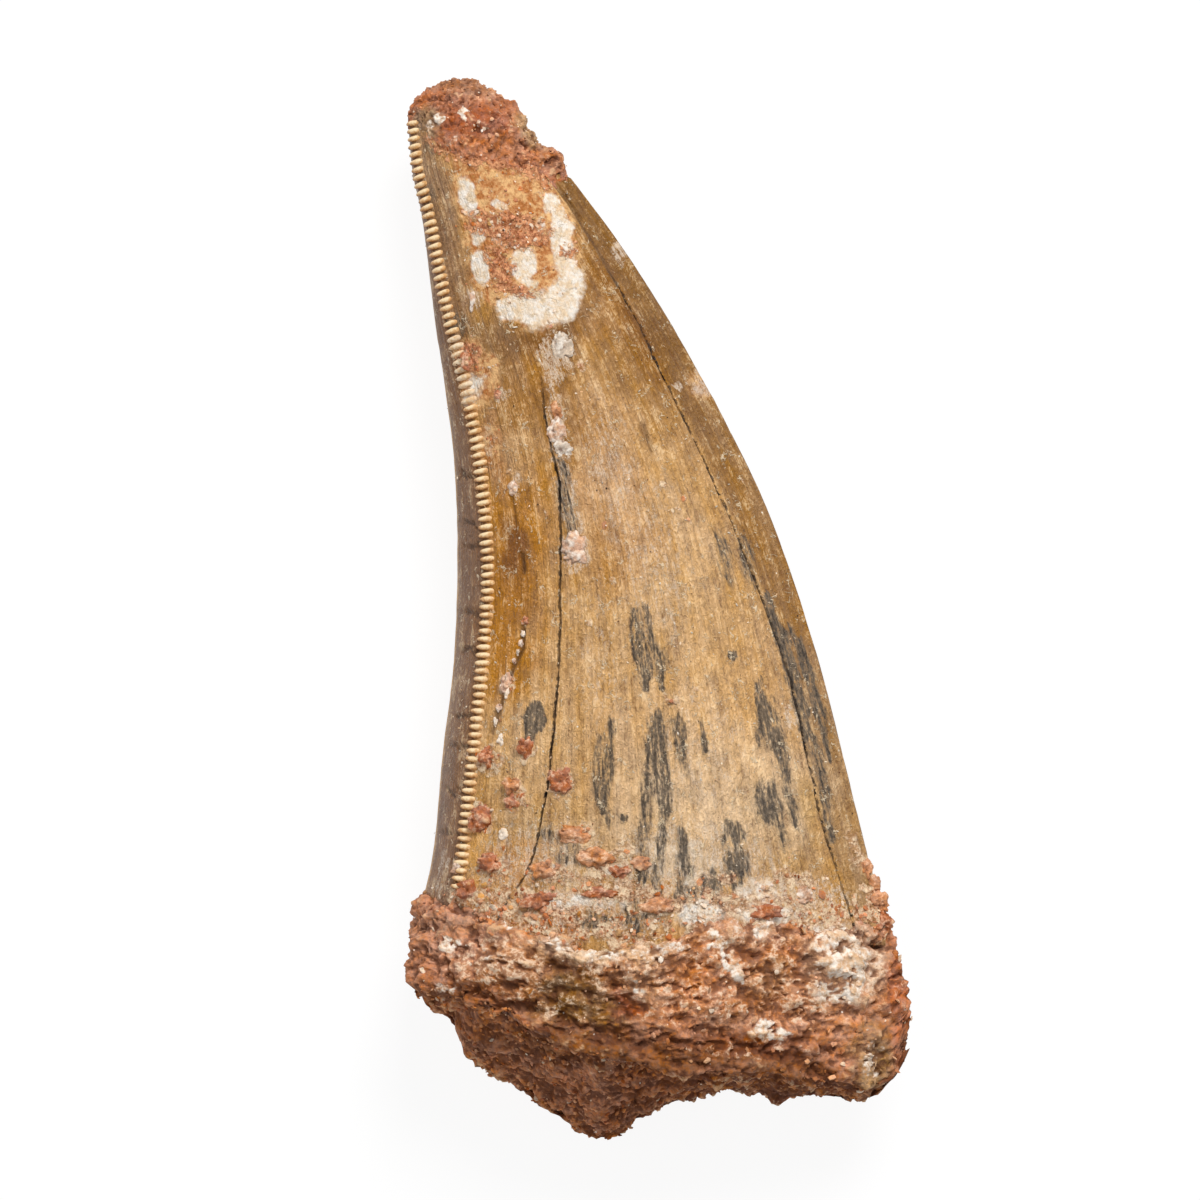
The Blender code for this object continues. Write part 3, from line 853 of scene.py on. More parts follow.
@dataclass(frozen=True)
class FossilEnamel:
    """Fossil tooth enamel, polished by wear: satin, with growth lines along the tooth and mineral stains.

    Groundwater tinted it amber and tan, so its colour is the painted wash, streaked along the growth lines.
    """

    name: str = "fossil_enamel"
    roughness: float = 0.4
    caked: float = 0.85
    line_colour: str = "#3a2415"
    grains: tuple[Grain, ...] = (
        Grain((1.5, 15.0, 6.0), 0.07, True, 2.0),
        Grain((0.40, 9.0, 3.0), 0.15, True),
        Grain((0.14, 3.0, 2.0), 0.13, True, 3.0, 0.3, 0.7),
        Grain((0.95, 1.4, 0.95), 0.18, False, 4.0),
        Grain((0.22, 0.34, 0.22), 0.27, False, 3.0, 0.3, 0.7, 1.2),
    )
    warm: tuple[Grain, ...] = (
        Grain((0.9, 12.0, 5.0), 0.5, True, 3.0, 0.34, 0.66),
        Grain((1.8, 2.6, 2.0), 0.45, False, 4.0, 0.34, 0.66),
    )
    stains: tuple[Stain, ...] = (
        Stain(
            "scuff", "#c39a72", "#f2e0cb", Grain((0.35, 1.1, 0.6), 0.5, True),
            Grain((0.16, 0.24, 0.2), 0.5, False, 3.0, 0.36, 0.64, 1.5), 0.3, 0.62,
        ),
        Stain(
            "grey", "#8d7a63", "#2a2624", Grain((0.27, 2.1, 1.5), 0.62, True, 3.0, 0.3, 0.7),
            Grain((0.17, 0.4, 0.3), 0.48, True, 3.0, 0.3, 0.7), 0.46, 0.92,
        ),
        Stain("blotch", "#b0673a", "#f7dab4", Grain((0.6,) * 3, 0.5), Grain((0.22,) * 3, 0.4), 0.34, 0.9),
        Stain("orange", "#b8662a", "#f2c084", Grain((0.9,) * 3, 0.3), Grain((0.35,) * 3, 0.26), 0.38, 0.94),
        Stain("cream", "#f0d6b4", "#fdf3e6", Grain((0.8,) * 3, 0.22), Grain((0.3,) * 3, 0.16), 0.34, 0.96),
        Stain("rust", "#9c5230", "#eaa878", Grain((0.5,) * 3, 0.42), Grain((0.2,) * 3, 0.36), 0.24),
    )
    specks: tuple[Specks, ...] = (
        Specks(1.0, 0.07, 0.14, "#5b3a22"),
        Specks(0.8, 0.07, 0.2, "#f0e0c8"),
        Specks(2.6, 0.12, 0.12, "#4a3426"),
    )
    ripples: tuple[Ripple, ...] = (("#f6dcb0", 1.12, 1.6, 0.62), ("#94541a", 0.85, 0.4, 0.45))
    curls: Curls = Curls()
    cracks: tuple[CrackLine, ...] = (CrackLine("long_crack", 0.085), CrackLine("facet_crack", 0.075))

    def make(self) -> Material:
        """Return the material."""
        made = Shading(self.name)
        value = made.summed(1.02, self.grains)
        colour = made.tinted(value, self.warm, 0.96, 1.2)
        colour = made.rippled(colour, value, self.ripples, "LINEAR")
        covers = {}
        for stain in self.stains:
            colour, covers[stain.attribute] = stain.lay(made, colour)
        for specks in self.specks:
            colour = specks.lay(made, colour)
        colour, curled = self.curls.lay(made, colour)
        for crack in self.cracks:
            colour = crack.lay(made, colour)
        lines = made.add("Attribute", {"attribute_name": "lines"}, "Fac")
        colour = made.add("Mix", {"data_type": "RGBA", 0: lines, 6: colour, 7: linear(self.line_colour)}, 2)
        crusted = made.add("Math", {"operation": "MAXIMUM", 0: covers["rust"], 1: covers["orange"]})
        dull = made.add("MapRange", {"Value": crusted, "To Min": self.roughness, "To Max": self.caked})
        granular = made.add("Math", {"operation": "ADD", 0: covers["rust"], 1: covers["blotch"]})
        relief = made.add("Math", {"operation": "MULTIPLY_ADD", 0: granular, 1: 0.5, 2: value})
        relief = made.add("Math", {"operation": "MULTIPLY_ADD", 0: curled, 1: 0.5, 2: relief})
        return made.finished(colour, dull, 0.35, relief, 0.9, 0.17)


@dataclass(frozen=True)
class RustSandstone:
    """Iron-stained desert sandstone, broken rough: dull and crumbly, pale specks on its grains, painted shade
    in its pits and a painted highlight on its crests.
    """

    name: str = "rust_sandstone"
    grains: tuple[Grain, ...] = (
        Grain((0.2,) * 3, 0.2, False, 4.0, 0.33, 0.67),
        Grain((0.6,) * 3, 0.22, False, 4.0),
        Grain((1.8, 1.0, 1.8), 0.14),
    )
    warm: tuple[Grain, ...] = (Grain((1.6,) * 3, 0.5, False, 4.0), Grain((0.4,) * 3, 0.4))
    # Painted light: the pale ripple on high fine height is a painted highlight on the crests; the dark brown
    # one on low fine height is painted shade in the pits.
    ripples: tuple[Ripple, ...] = (("#f0c596", 0.72, 1.15, 0.55), ("#5d2f17", 0.42, 0.0, 0.7))
    stains: tuple[Stain, ...] = (
        Stain("dust", "#cf9a70", "#f4dcbf", Grain((0.6,) * 3, 0.6), Grain((0.2,) * 3, 0.5), 0.24, 0.75),
        Stain("cream", "#dcb48c", "#fdf2e4", Grain((0.7,) * 3, 0.4), Grain((0.25,) * 3, 0.24), 0.34, 0.94),
    )
    specks: Specks = Specks(0.7, 0.07, 0.2, "#f6e8d8")

    def make(self) -> Material:
        """Return the material."""
        made = Shading(self.name)
        grain = made.summed(0.0, self.grains)
        value = made.add("Math", {"operation": "ADD", 0: grain, 1: 1.0})
        colour = made.tinted(value, self.warm, 0.84, 1.14)
        for stain in self.stains:
            colour, _ = stain.lay(made, colour)
        relief = made.add("Attribute", {"attribute_name": "relief"}, "Fac")
        level = made.add("Math", {"operation": "MULTIPLY_ADD", 0: grain, 1: 0.35, 2: relief})
        # Painted highlight on the crests and painted shade in the pits, laid by the fine height.
        colour = made.rippled(colour, level, self.ripples, "SMOOTHSTEP")
        colour = self.specks.lay(made, colour)
        return made.finished(colour, 0.8, 0.3, grain, 0.8, 0.12)


@dataclass(frozen=True)
class DenticleWithPaintedLight:
    """Bare enamel of the saw teeth, with a painted highlight on top of each bar and painted shade on its
    lower side and down in the gaps between them.
    """

    name: str = "denticle_painted_light"
    roughness: float = 0.42
    # Ramp over each bar's painted light level: dark brown is painted shade, pale cream is painted highlight.
    painted_light_stops: tuple[tuple[float, str], ...] = (
        (0.08, "#553116"), (0.36, "#a56a32"), (0.62, "#d9a468"), (0.92, "#f8deb2"),
    )
    grains: tuple[Grain, ...] = (Grain((0.9,) * 3, 0.12), Grain((0.2,) * 3, 0.12))
    bleached: Stain = Stain(
        "cream", "#dcb384", "#f2e0c4", Grain((1.0,) * 3, 0.1), Grain((0.2,) * 3, 0.1), 0.4, 0.7,
    )

    def make(self) -> Material:
        """Return the material."""
        made = Shading(self.name)
        grain = made.summed(0.0, self.grains)
        # On the bars, relief holds mostly their painted light level rather than a height.
        height = made.add("Attribute", {"attribute_name": "relief"}, "Fac")
        level = made.add("Math", {"operation": "ADD", 0: height, 1: grain})
        shade = made.add("ValToRGB", {"stops": self.painted_light_stops, 0: level})
        colour, _ = self.bleached.lay(made, shade)
        return made.finished(colour, self.roughness, 0.4, grain, 0.4, 0.05)


@dataclass(frozen=True)
class PaleBoard:
    """White board lit from within, so that it looks blank and throws no dark shadow."""

    name: str = "pale_board"
    colour: str = "#5a5a5a"
    roughness: float = 0.9
    glow: float = 0.9

    def make(self) -> Material:
        """Return the material."""
        material = bpy.data.materials.new(self.name)
        material.use_nodes = True
        sockets = material.node_tree.nodes["Principled BSDF"].inputs
        sockets["Base Color"].default_value = linear(self.colour)
        sockets["Roughness"].default_value = self.roughness
        sockets["Emission Color"].default_value = linear("#ffffff")
        sockets["Emission Strength"].default_value = self.glow
        return material


class Side(Enum):
    """Which face of the crown a stretch of its grid belongs to."""

    FRONT = 0.0
    BACK = 10.0


@dataclass
class Ground:
    """A surface that grit can stick to."""

    points: Array
    normals: Array
    px: Array
    py: Array
    paints: Paints
    area: Array = field(init=False)

    def __post_init__(self) -> None:
        """Work out how much surface each place of the grid stands for."""
        across = np.gradient(self.points, axis=1)
        along = np.gradient(self.points, axis=0)
        self.area = np.linalg.norm(np.cross(across, along), axis=-1)

    @classmethod
    def cut(
        cls, part: tuple[slice, slice], points: Array, normals: Array, pixels: Pixels, paints: Paints
    ) -> "Ground":
        """Return the ground of a part of a grid.

        Args:
            part: the rows and columns of the part.
            points: places in millimetres.
            normals: unit normals there.
            pixels: photo x and y there.
            paints: painted values there, by title.
        """
        px, py = (values[part] for values in pixels)
        paints = {title: values[part] for title, values in paints.items()}
        return cls(points[part], normals[part], px, py, paints)

    def facing(self) -> Array:
        """Return how much each place faces the camera, 0 to 1."""
        return smooth_step(self.normals[..., 2], -0.1, 0.3)


@dataclass
class Crown:
    """The crown's skin: a fine grid wrapped round the section, its cracks cut in and its stains painted."""

    rows: int = 330
    cap_rows: int = 4
    facet_columns: int = 24
    face_columns: int = 96
    saw_columns: int = 42
    strip_columns: int = 16
    belly_columns: int = 40
    back_columns: int = 42
    root_tuck: float = 1.0
    tip_tuck: float = 0.6
    root_sink: float = 0.7
    tip_sink: float = 0.4
    sink_reach: float = 1.2
    flat_z: float = 0.02
    groove_offsets: tuple[float, ...] = (0.2, 0.09, 0.04, 0.0, -0.04, -0.09, -0.2)
    crack_depth: float = 0.3
    crack_half: float = 0.085
    face_width: float = 26.0
    film_reach: float = 5.6
    facet_seed: float = 3.0
    long_seed: float = 11.0
    tables: dict[float, Array] = field(default_factory=dict)
    base_colour: str = "#c1935f"
    washes: tuple[Wash, ...] = (
        Wash("#b98a52", (530, 430), (95, 120), 0.8, 0.7, -5),
        Wash("#83541f", (624, 330), (26, 110), 0.9, 0.6, -27),
        Wash("#9a6c34", (645, 400), (40, 110), 0.6, 0.6, -25), Wash("#86613f", (505, 345), (60, 24), 0.75),
        Wash("#a5805e", (430, 190), (24, 110), 0.9, 0.5, -10),
        Wash("#9a7350", (450, 290), (20, 60), 0.8, 0.5, -10), Wash("#b27a52", (490, 446), (16, 44), 0.6),
        Wash("#b97a2e", (515, 590), (40, 130), 0.85, 0.6, 2),
        Wash("#834e1a", (511, 545), (11, 42), 0.85, 0.5, 2),
        Wash("#94602b", (526, 590), (10, 40), 0.6, 0.6, 5), Wash("#cda271", (560, 690), (30, 110), 0.75),
        Wash("#d2a97a", (685, 650), (90, 220), 0.85, 0.6, -14),
        Wash("#c89b74", (610, 500), (40, 90), 0.5, 0.6, -8),
        Wash("#b78c5c", (765, 640), (36, 110), 0.4, 0.6, -16),
        Wash("#d8b084", (690, 790), (130, 100), 0.85, 0.7, -8),
        Wash("#ad8550", (790, 860), (40, 70), 0.5, 0.6, -10), Wash("#bd9463", (540, 850), (80, 70), 0.7),
        Wash("#b08757", (640, 880), (90, 50), 0.5), Wash("#c8935f", (640, 915), (260, 24), 0.6),
        Wash("#c9905e", (480, 890), (50, 30), 0.6), Wash("#caa27a", (522, 440), (18, 30), 0.7),
        Wash("#ab783e", (606, 556), (56, 34), 0.5, 0.6, -10), Wash("#7a4f24", (552, 342), (34, 20), 0.7),
        Wash("#d3a877", (540, 760), (50, 50), 0.6), Wash("#dfb68e", (750, 915), (60, 20), 0.6),
        Wash("#dcb78e", (766, 800), (34, 60), 0.6, 0.6, -10),
        Wash("#7a4c1c", (636, 328), (20, 48), 0.6, 0.6, -27),
        Wash("#8e6236", (562, 395), (22, 70), 0.6, 0.6, -6),
        Wash("#e6c7a2", (700, 812), (110, 46), 0.5, 0.7, -8), Wash("#ecd2b2", (686, 866), (34, 26), 0.6),
        Wash("#e0aa68", (482, 858), (26, 46), 0.75), Wash("#e0b98c", (526, 742), (34, 44), 0.5),
        Wash("#e2bf98", (560, 860), (30, 20), 0.5), Wash("#d2a676", (762, 690), (30, 40), 0.45, 0.6, -14),
        Wash("#d6aa7a", (850, 805), (14, 50), 0.5, 0.6, -12), Wash("#b68652", (596, 322), (24, 26), 0.5),
        Wash("#98652f", (522, 386), (26, 36), 0.5), Wash("#6c431f", (566, 320), (22, 24), 0.6),
        Wash("#b9935f", (806, 802), (16, 30), 0.5), Wash("#cf8f58", (520, 862), (30, 22), 0.45),
        Wash("#c9814e", (562, 918), (26, 18), 0.5),
    )
    band_tones: tuple[str, str, str] = ("#7d5526", "#93693a", "#a8845d")
    # The strip's colour is its own dark brown enamel, made darker with painted shade where it turns away from
    # the light.
    strip_colour_and_shade: str = "#886244"
    # Painted shade: dark brown on the enamel at the foot of the saw, in the gaps between the denticles.
    saw_gap_shade_colour: str = "#6a4323"
    grey_marks: Marks = (
        Stroke(((634, 604, 3), (638, 640, 7), (646, 684, 6)), 0.85),
        Stroke(((646, 600, 3), (652, 640, 5), (659, 672, 8), (662, 690, 3)), 0.8),
        Stroke(((612, 722, 4), (609, 760, 6), (600, 800, 8), (607, 825, 3)), 0.8),
        Stroke(((600, 735, 3), (597, 790, 6)), 0.7),
        Stroke(((658, 715, 7), (654, 745, 11), (663, 790, 9), (668, 820, 4)), 0.92),
        Stroke(((647, 770, 5), (644, 820, 6), (642, 880, 8)), 0.75),
        Stroke(((665, 790, 4), (662, 840, 6), (655, 890, 6)), 0.7),
        Stroke(((676, 716, 5), (682, 744, 8), (684, 768, 4)), 0.7),
        Stroke(((682, 835, 6), (684, 870, 8), (680, 900, 8)), 0.82),
        Mark((735, 834), (12, 15), 0.9, 0.4, -20), Mark((735, 868), (13, 18), 0.95, 0.4, 10),
        Mark((712, 886), (10, 14), 0.85, 0.4, 10), Mark((768, 805), (13, 26), 0.9, 0.4, -12),
        Mark((784, 838), (6, 14), 0.7, 0.4, -12),
        Stroke(((760, 690, 6), (770, 726, 14), (784, 758, 8)), 0.95),
        Stroke(((778, 745, 3), (790, 800, 7), (797, 830, 3)), 0.78),
        Stroke(((766, 600, 3), (784, 645, 7), (800, 700, 8), (808, 740, 4)), 0.9),
        Stroke(((790, 618, 3), (805, 660, 5), (822, 720, 6), (830, 760, 3)), 0.82),
        Stroke(((812, 735, 5), (824, 790, 6), (832, 840, 4)), 0.66),
        Mark((724, 556), (8, 26), 0.78, 0.5, -12), Mark((748, 562), (7, 26), 0.7, 0.5, -14),
        Stroke(((700, 720, 2), (703, 735, 3), (706, 746, 2)), 0.9), Mark((455, 325), (12, 10), 0.7, 0.5),
        Mark((600, 922), (38, 12), 0.66, 0.5), Mark((640, 915), (20, 18), 0.7, 0.5),
        Mark((700, 905), (26, 20), 0.6, 0.5), Stroke(((560, 466, 6), (566, 500, 9), (573, 532, 8)), 0.62),
        Mark((548, 833), (10, 10), 0.6, 0.4), Mark((566, 855), (14, 8), 0.6, 0.4),
    )
    dark_spots: Marks = (
        Stroke(((537, 704, 4), (529, 716, 6), (531, 730, 6), (541, 722, 6), (537, 708, 5)), 1.3),
        Stroke(((532, 730, 6), (528, 742, 4)), 1.1), Mark((733, 655), (5, 5), 1.4, 0.3),
        Mark((623, 818), (4, 4), 1.2, 0.3), Mark((433, 143), (9, 12), 0.85, 0.5),
        Mark((428, 195), (9, 10), 0.55, 0.5),
    )
    cream_marks: Marks = (
        Mark((524, 262), (14, 17), 1.0, 0.3), Mark((561, 234), (11, 25), 1.0, 0.3),
        Stroke(((566, 262, 11), (572, 282, 13), (560, 303, 18), (536, 311, 19), (508, 307, 11)), 1.05),
        Mark((481, 268), (8, 18), 1.15), Mark((468, 197), (9, 20), 1.1, lean=-15), Mark((479, 234), (7, 9)),
        Mark((553, 202), (8, 11), 0.95), Mark((500, 205), (8, 6), 0.8), Mark((497, 240), (6, 6), 0.6),
        Mark((540, 225), (6, 8), 0.6), Mark((529, 283), (10, 5), 0.85),
        Stroke(((482, 376, 5), (474, 386, 11), (465, 399, 8)), 0.7), Mark((836, 938), (30, 14), 0.85, 0.6),
        Mark((700, 915), (24, 14), 0.7, 0.5), Mark((766, 914), (34, 10), 0.6, 0.5),
        Mark((602, 904), (30, 7), 0.46, 0.5), Mark((615, 868), (14, 8), 0.55),
        Mark((560, 900), (30, 10), 0.6, 0.5), Mark((470, 925), (16, 10), 0.6),
        Mark((690, 880), (8, 6), 0.7), Mark((760, 890), (26, 12), 0.5, 0.6),
    )
    rust_marks: Marks = (
        Mark((508, 228), (42, 17), 0.95, 0.4, 6), Mark((527, 241), (24, 10), 0.9, 0.4),
        Mark((500, 268), (12, 24), 0.9, 0.4, -14), Mark((522, 292), (15, 6), 0.85, lean=10),
        Mark((567, 254), (9, 7), 0.85), Mark((520, 160), (40, 16), 0.85, 0.6, 8),
        Mark((490, 150), (60, 16), 0.95, 0.5, 10), Mark((468, 357), (13, 14), 0.9),
        Mark((475, 215), (12, 8), 0.6), Mark((545, 178), (9, 14), 0.75),
    )
    orange_marks: Marks = (
        Stroke(((488, 364, 10), (478, 384, 20), (466, 404, 14)), 1.0), Mark((470, 352), (18, 16), 0.6),
        Mark((488, 445), (14, 26), 0.5), Mark((700, 385), (14, 18), 0.4, lean=-20),
        Mark((536, 232), (30, 20), 0.6),
    )
    patch: Region = Region((
        (420, 100), (432, 140), (450, 160), (453, 178), (461, 205), (461, 224), (471, 251), (472, 280),
        (486, 299), (505, 314), (524, 325), (543, 327), (558, 318), (574, 295), (579, 270), (572, 226),
        (560, 200), (556, 186), (546, 160), (530, 110),
    ), 5.0)
    patch_rim: Region = Region((
        (414, 100), (428, 150), (440, 170), (452, 210), (462, 256), (464, 286), (480, 308), (503, 324),
        (524, 335), (546, 336), (566, 325), (584, 300), (588, 270), (580, 220), (566, 190), (552, 150),
        (536, 110),
    ), 9.0)
    blotch_marks: Marks = (
        Mark((490, 760), (15, 13), 0.8), Mark((527, 750), (11, 11), 0.8), Mark((515, 795), (12, 17), 0.85),
        Mark((482, 818), (14, 14), 0.85), Mark((560, 783), (14, 13), 0.85), Mark((575, 835), (18, 8), 0.8),
        Mark((493, 865), (18, 10), 0.9), Mark((550, 872), (26, 11), 0.85, lean=8),
        Mark((605, 862), (26, 11), 0.8, lean=12), Mark((520, 905), (60, 16), 0.8, lean=6),
        Mark((630, 890), (30, 12), 0.75, lean=10), Mark((760, 905), (60, 14), 0.75, lean=4),
        Mark((455, 895), (20, 14)), Mark((878, 880), (10, 30), 0.9, lean=-8),
        Mark((625, 850), (12, 8), 0.6), Mark((590, 880), (18, 8), 0.7), Mark((507, 684), (9, 10), 0.7),
        Mark((488, 445), (9, 18), 0.5), Mark((855, 850), (8, 22), 0.6, lean=-8),
        Mark((700, 880), (16, 8), 0.5), Mark((800, 880), (20, 10), 0.6), Mark((670, 905), (30, 10), 0.75),
    )
    scuff_marks: Marks = (
        Mark((704, 382), (13, 17), 0.75, lean=-20), Mark((678, 385), (7, 7), 0.7),
        Mark((620, 252), (8, 12), 0.55, lean=-20), Mark((555, 357), (18, 24), 0.8, 0.5),
        Stroke(((550, 382, 6), (555, 405, 7), (560, 455, 11)), 0.6),
        Stroke(((562, 462, 9), (568, 500, 10), (574, 535, 10)), 0.55),
        Mark((575, 553), (15, 18), 0.75, 0.4), Mark((610, 470), (34, 90), 0.36, 0.7, -8),
        Mark((650, 560), (50, 120), 0.33, 0.7, -10), Mark((600, 660), (30, 110), 0.3, 0.7, -4),
        Mark((700, 760), (70, 110), 0.3, 0.7, -8), Mark((540, 860), (80, 50), 0.44, 0.7),
        Mark((690, 870), (90, 50), 0.58, 0.7), Mark((516, 486), (8, 12), 0.6, lean=10),
        Mark((474, 300), (7, 14), 0.6, lean=-20), Mark((502, 394), (8, 7), 0.6),
        Mark((600, 915), (80, 24), 0.55), Mark((780, 905), (80, 34), 0.58),
        Mark((790, 717), (9, 15), 0.7, lean=-10), Mark((440, 870), (10, 26), 0.45),
    )
    strip_lines: tuple[Stroke, ...] = tuple(
        Stroke(((440, y, 1.6), (480, y + lean, 1.6)), 0.7)
        for y, lean in (
            (470, 6), (522, 3), (548, -2), (610, 3), (648, 2), (715, 4), (745, 3), (790, 2), (832, 4),
        )
    )
    fine_lines: tuple[Stroke, ...] = (
        Stroke(((522, 554, 2.2), (524, 572, 2.2)), 0.8),
        Stroke(((523, 629, 2.4), (522, 649, 2.4), (515, 663, 2.4), (508, 680, 2.4)), 0.85),
        Stroke(((504, 694, 2.2), (499, 712, 2.2), (492, 731, 2.2)), 0.7),
        Stroke(((512, 497, 1.8), (516, 525, 1.8)), 0.5), Stroke(((644, 425, 1.8), (652, 450, 1.8)), 0.5),
        Stroke(((541, 167, 1.8), (570, 202, 1.8), (585, 228, 1.8), (606, 263, 1.8), (617, 285, 1.8)), 0.55),
        Stroke(((446, 906, 4), (466, 912, 5), (487, 921, 4)), 0.9),
    )

    def stray(self, y: Array, seed: float) -> Array:
        """Return how far a crack strays from its smooth line at each y, read from a table made once.

        Args:
            y: places along in millimetres.
            seed: which crack it is.
        """
        table_y = np.linspace(-40.0, 40.0, 1601)
        if seed not in self.tables:
            places = np.stack([np.full(table_y.shape, seed), table_y, np.zeros(table_y.shape)], axis=-1)
            self.tables[seed] = 0.09 * rough(places, 2.6, 2) + 0.05 * rough(places, 0.7, 2, 5.0)
        return np.interp(y, table_y, self.tables[seed])

    def section(self, y: Array) -> tuple[Array, Array, Array, Array]:
        """Lay out the columns of the grid round the section.

        Args:
            y: heights along the tooth, rows by columns, or one row.

        Returns:
            x and z in millimetres, the share across the face, and how far from the front the column is.
        """

        def shares(count: int, skip: bool = False, end: bool = False) -> Array:
            """Return count even shares from 0 to 1, without the start if skip and with the end if end."""
            even = np.linspace(0.0, 1.0, count, endpoint=end)[None, :]
            return blend(1 / count, 1.0, even) if skip else even

        def facet_line(y: Array) -> Array:
            """Return x of the facet crack at each y."""
            return FORM.facet_crack(y) + self.stray(y, self.facet_seed)

        def long_line(y: Array) -> Array:
            """Return x of the long crack at each y."""
            return FORM.long_crack(y) + self.stray(y, self.long_seed)

        parts = np.split(y, np.cumsum(self.counts)[:-1], axis=1)
        facet, facet_groove, face, long_groove, saw, strip, belly, back = parts
        grooves, reach = np.array(self.groove_offsets), self.groove_offsets[0]
        x = np.concatenate([
            blend(FORM.leading_edge(facet), facet_line(facet) + reach, shares(self.facet_columns)),
            facet_line(facet_groove) + grooves,
            blend(facet_line(face) - reach, long_line(face) + reach, shares(self.face_columns, True)),
            long_line(long_groove) + grooves,
            blend(long_line(saw) - reach, FORM.saw_edge(saw), shares(self.saw_columns, True, True)),
        ], axis=1)
        front = x.shape[1]
        turned = (
            (x, FORM.front_height(x, y[:, :front])),
            FORM.strip(shares(self.strip_columns, True), strip),
            FORM.belly_from_bulge(shares(self.belly_columns), belly),
            FORM.belly_to_edge(shares(self.back_columns, False, True), back),
        )
        x, z = (np.concatenate(values, axis=1) for values in zip(*turned))
        across = (x - FORM.saw_edge(y)) / (FORM.leading_edge(y) - FORM.saw_edge(y))
        count = x.shape[1] - front
        steps = np.minimum(np.arange(1, count + 1), count - np.arange(1, count + 1)) / self.strip_columns
        side = np.concatenate([np.full(front, Side.FRONT.value), Side.BACK.value * np.clip(steps, 0.0, 1.0)])
        return x, np.maximum(z, 0.0), across, np.broadcast_to(side, x.shape)

    @property
    def counts(self) -> tuple[int, ...]:
        """Return how many columns each part of the section has, the seam's column twice in all."""
        groove = len(self.groove_offsets)
        front = (self.facet_columns, groove, self.face_columns, groove, self.saw_columns)
        return (*front, self.strip_columns, self.belly_columns, self.back_columns)

    def ends(self) -> tuple[Array, Array]:
        """Return the lowest and highest y of every column, tucked into the sandstone at both ends."""
        low = np.full((1, sum(self.counts)), -21.0)
        high = np.full((1, sum(self.counts)), 31.0)
        for _ in range(14):
            low = FORM.root_break(self.section(low)[0]) - self.root_tuck
            high = FORM.tip_break(self.section(high)[0]) + self.tip_tuck
        return low, high

    def build(self, finish: Material) -> tuple[Object, Ground]:
        """Return the crown's skin in its finish, and the ground that grit sticks to.

        Args:
            finish: the material.
        """
        low, high = self.ends()
        share = np.linspace(0.0, 1.0, self.rows)[:, None]
        y = blend(low, high, share)
        x, z, across, side = self.section(y)
        points = np.stack([x, y, z], axis=-1)
        points[:, -1] = points[:, 0]
        pixels = VIEW.pixel_of(points)
        paints = self.paint(points, pixels, across, side)
        normal = outward(points, (self.rows // 2, self.facet_columns + self.face_columns // 2, 2))
        tuck = self.root_sink * (1 - smooth_step(y - low, 0.0, self.root_tuck * self.sink_reach))
        tuck += self.tip_sink * (1 - smooth_step(high - y, 0.0, self.tip_tuck * self.sink_reach))
        push = self.relief(points, paints) - tuck
        flat = (points[..., 2] < self.flat_z)[..., None]
        points = points + np.where(flat, 0.0, normal * push[..., None])
        points[..., 2] = np.maximum(points[..., 2], 0.0)
        points[:, -1] = points[:, 0]
        ground = Ground.cut((slice(None), slice(0, -1)), points, normal, pixels, paints)
        points, paints = self.capped(points, paints)
        return add_skin("crown_skin", points, paints, finish), ground

    def relief(self, points: Array, paints: Paints) -> Array:
        """Return how far each place stands out of the smooth form, in millimetres.

        Args:
            points: places in millimetres.
            paints: painted values there, by title.
        """
        growth = paints["flow"] / np.array([1.1, 16.0, 4.0])
        ribs = paints["flow"] / np.array([0.5, 9.0, 4.0])
        push = 0.04 * rough(points, 5.0, 3) + 0.02 * rough(growth, 1.0, 3) + 0.012 * rough(ribs, 1.0, 2)
        push += 0.014 * rough(points, 0.9, 3)
        granular = rough(points, 0.4, 3, 9.0)
        push += paints["rust"] * (0.05 + 0.13 * granular)
        push += paints["blotch"] * (0.04 + 0.22 * (cells(points, 0.8, 3.0) - 0.35) + 0.1 * granular)
        push += 0.05 * paints["orange"] * granular - 0.06 * paints["orange"]
        push -= self.crack_depth * paints["crack"]
        return push

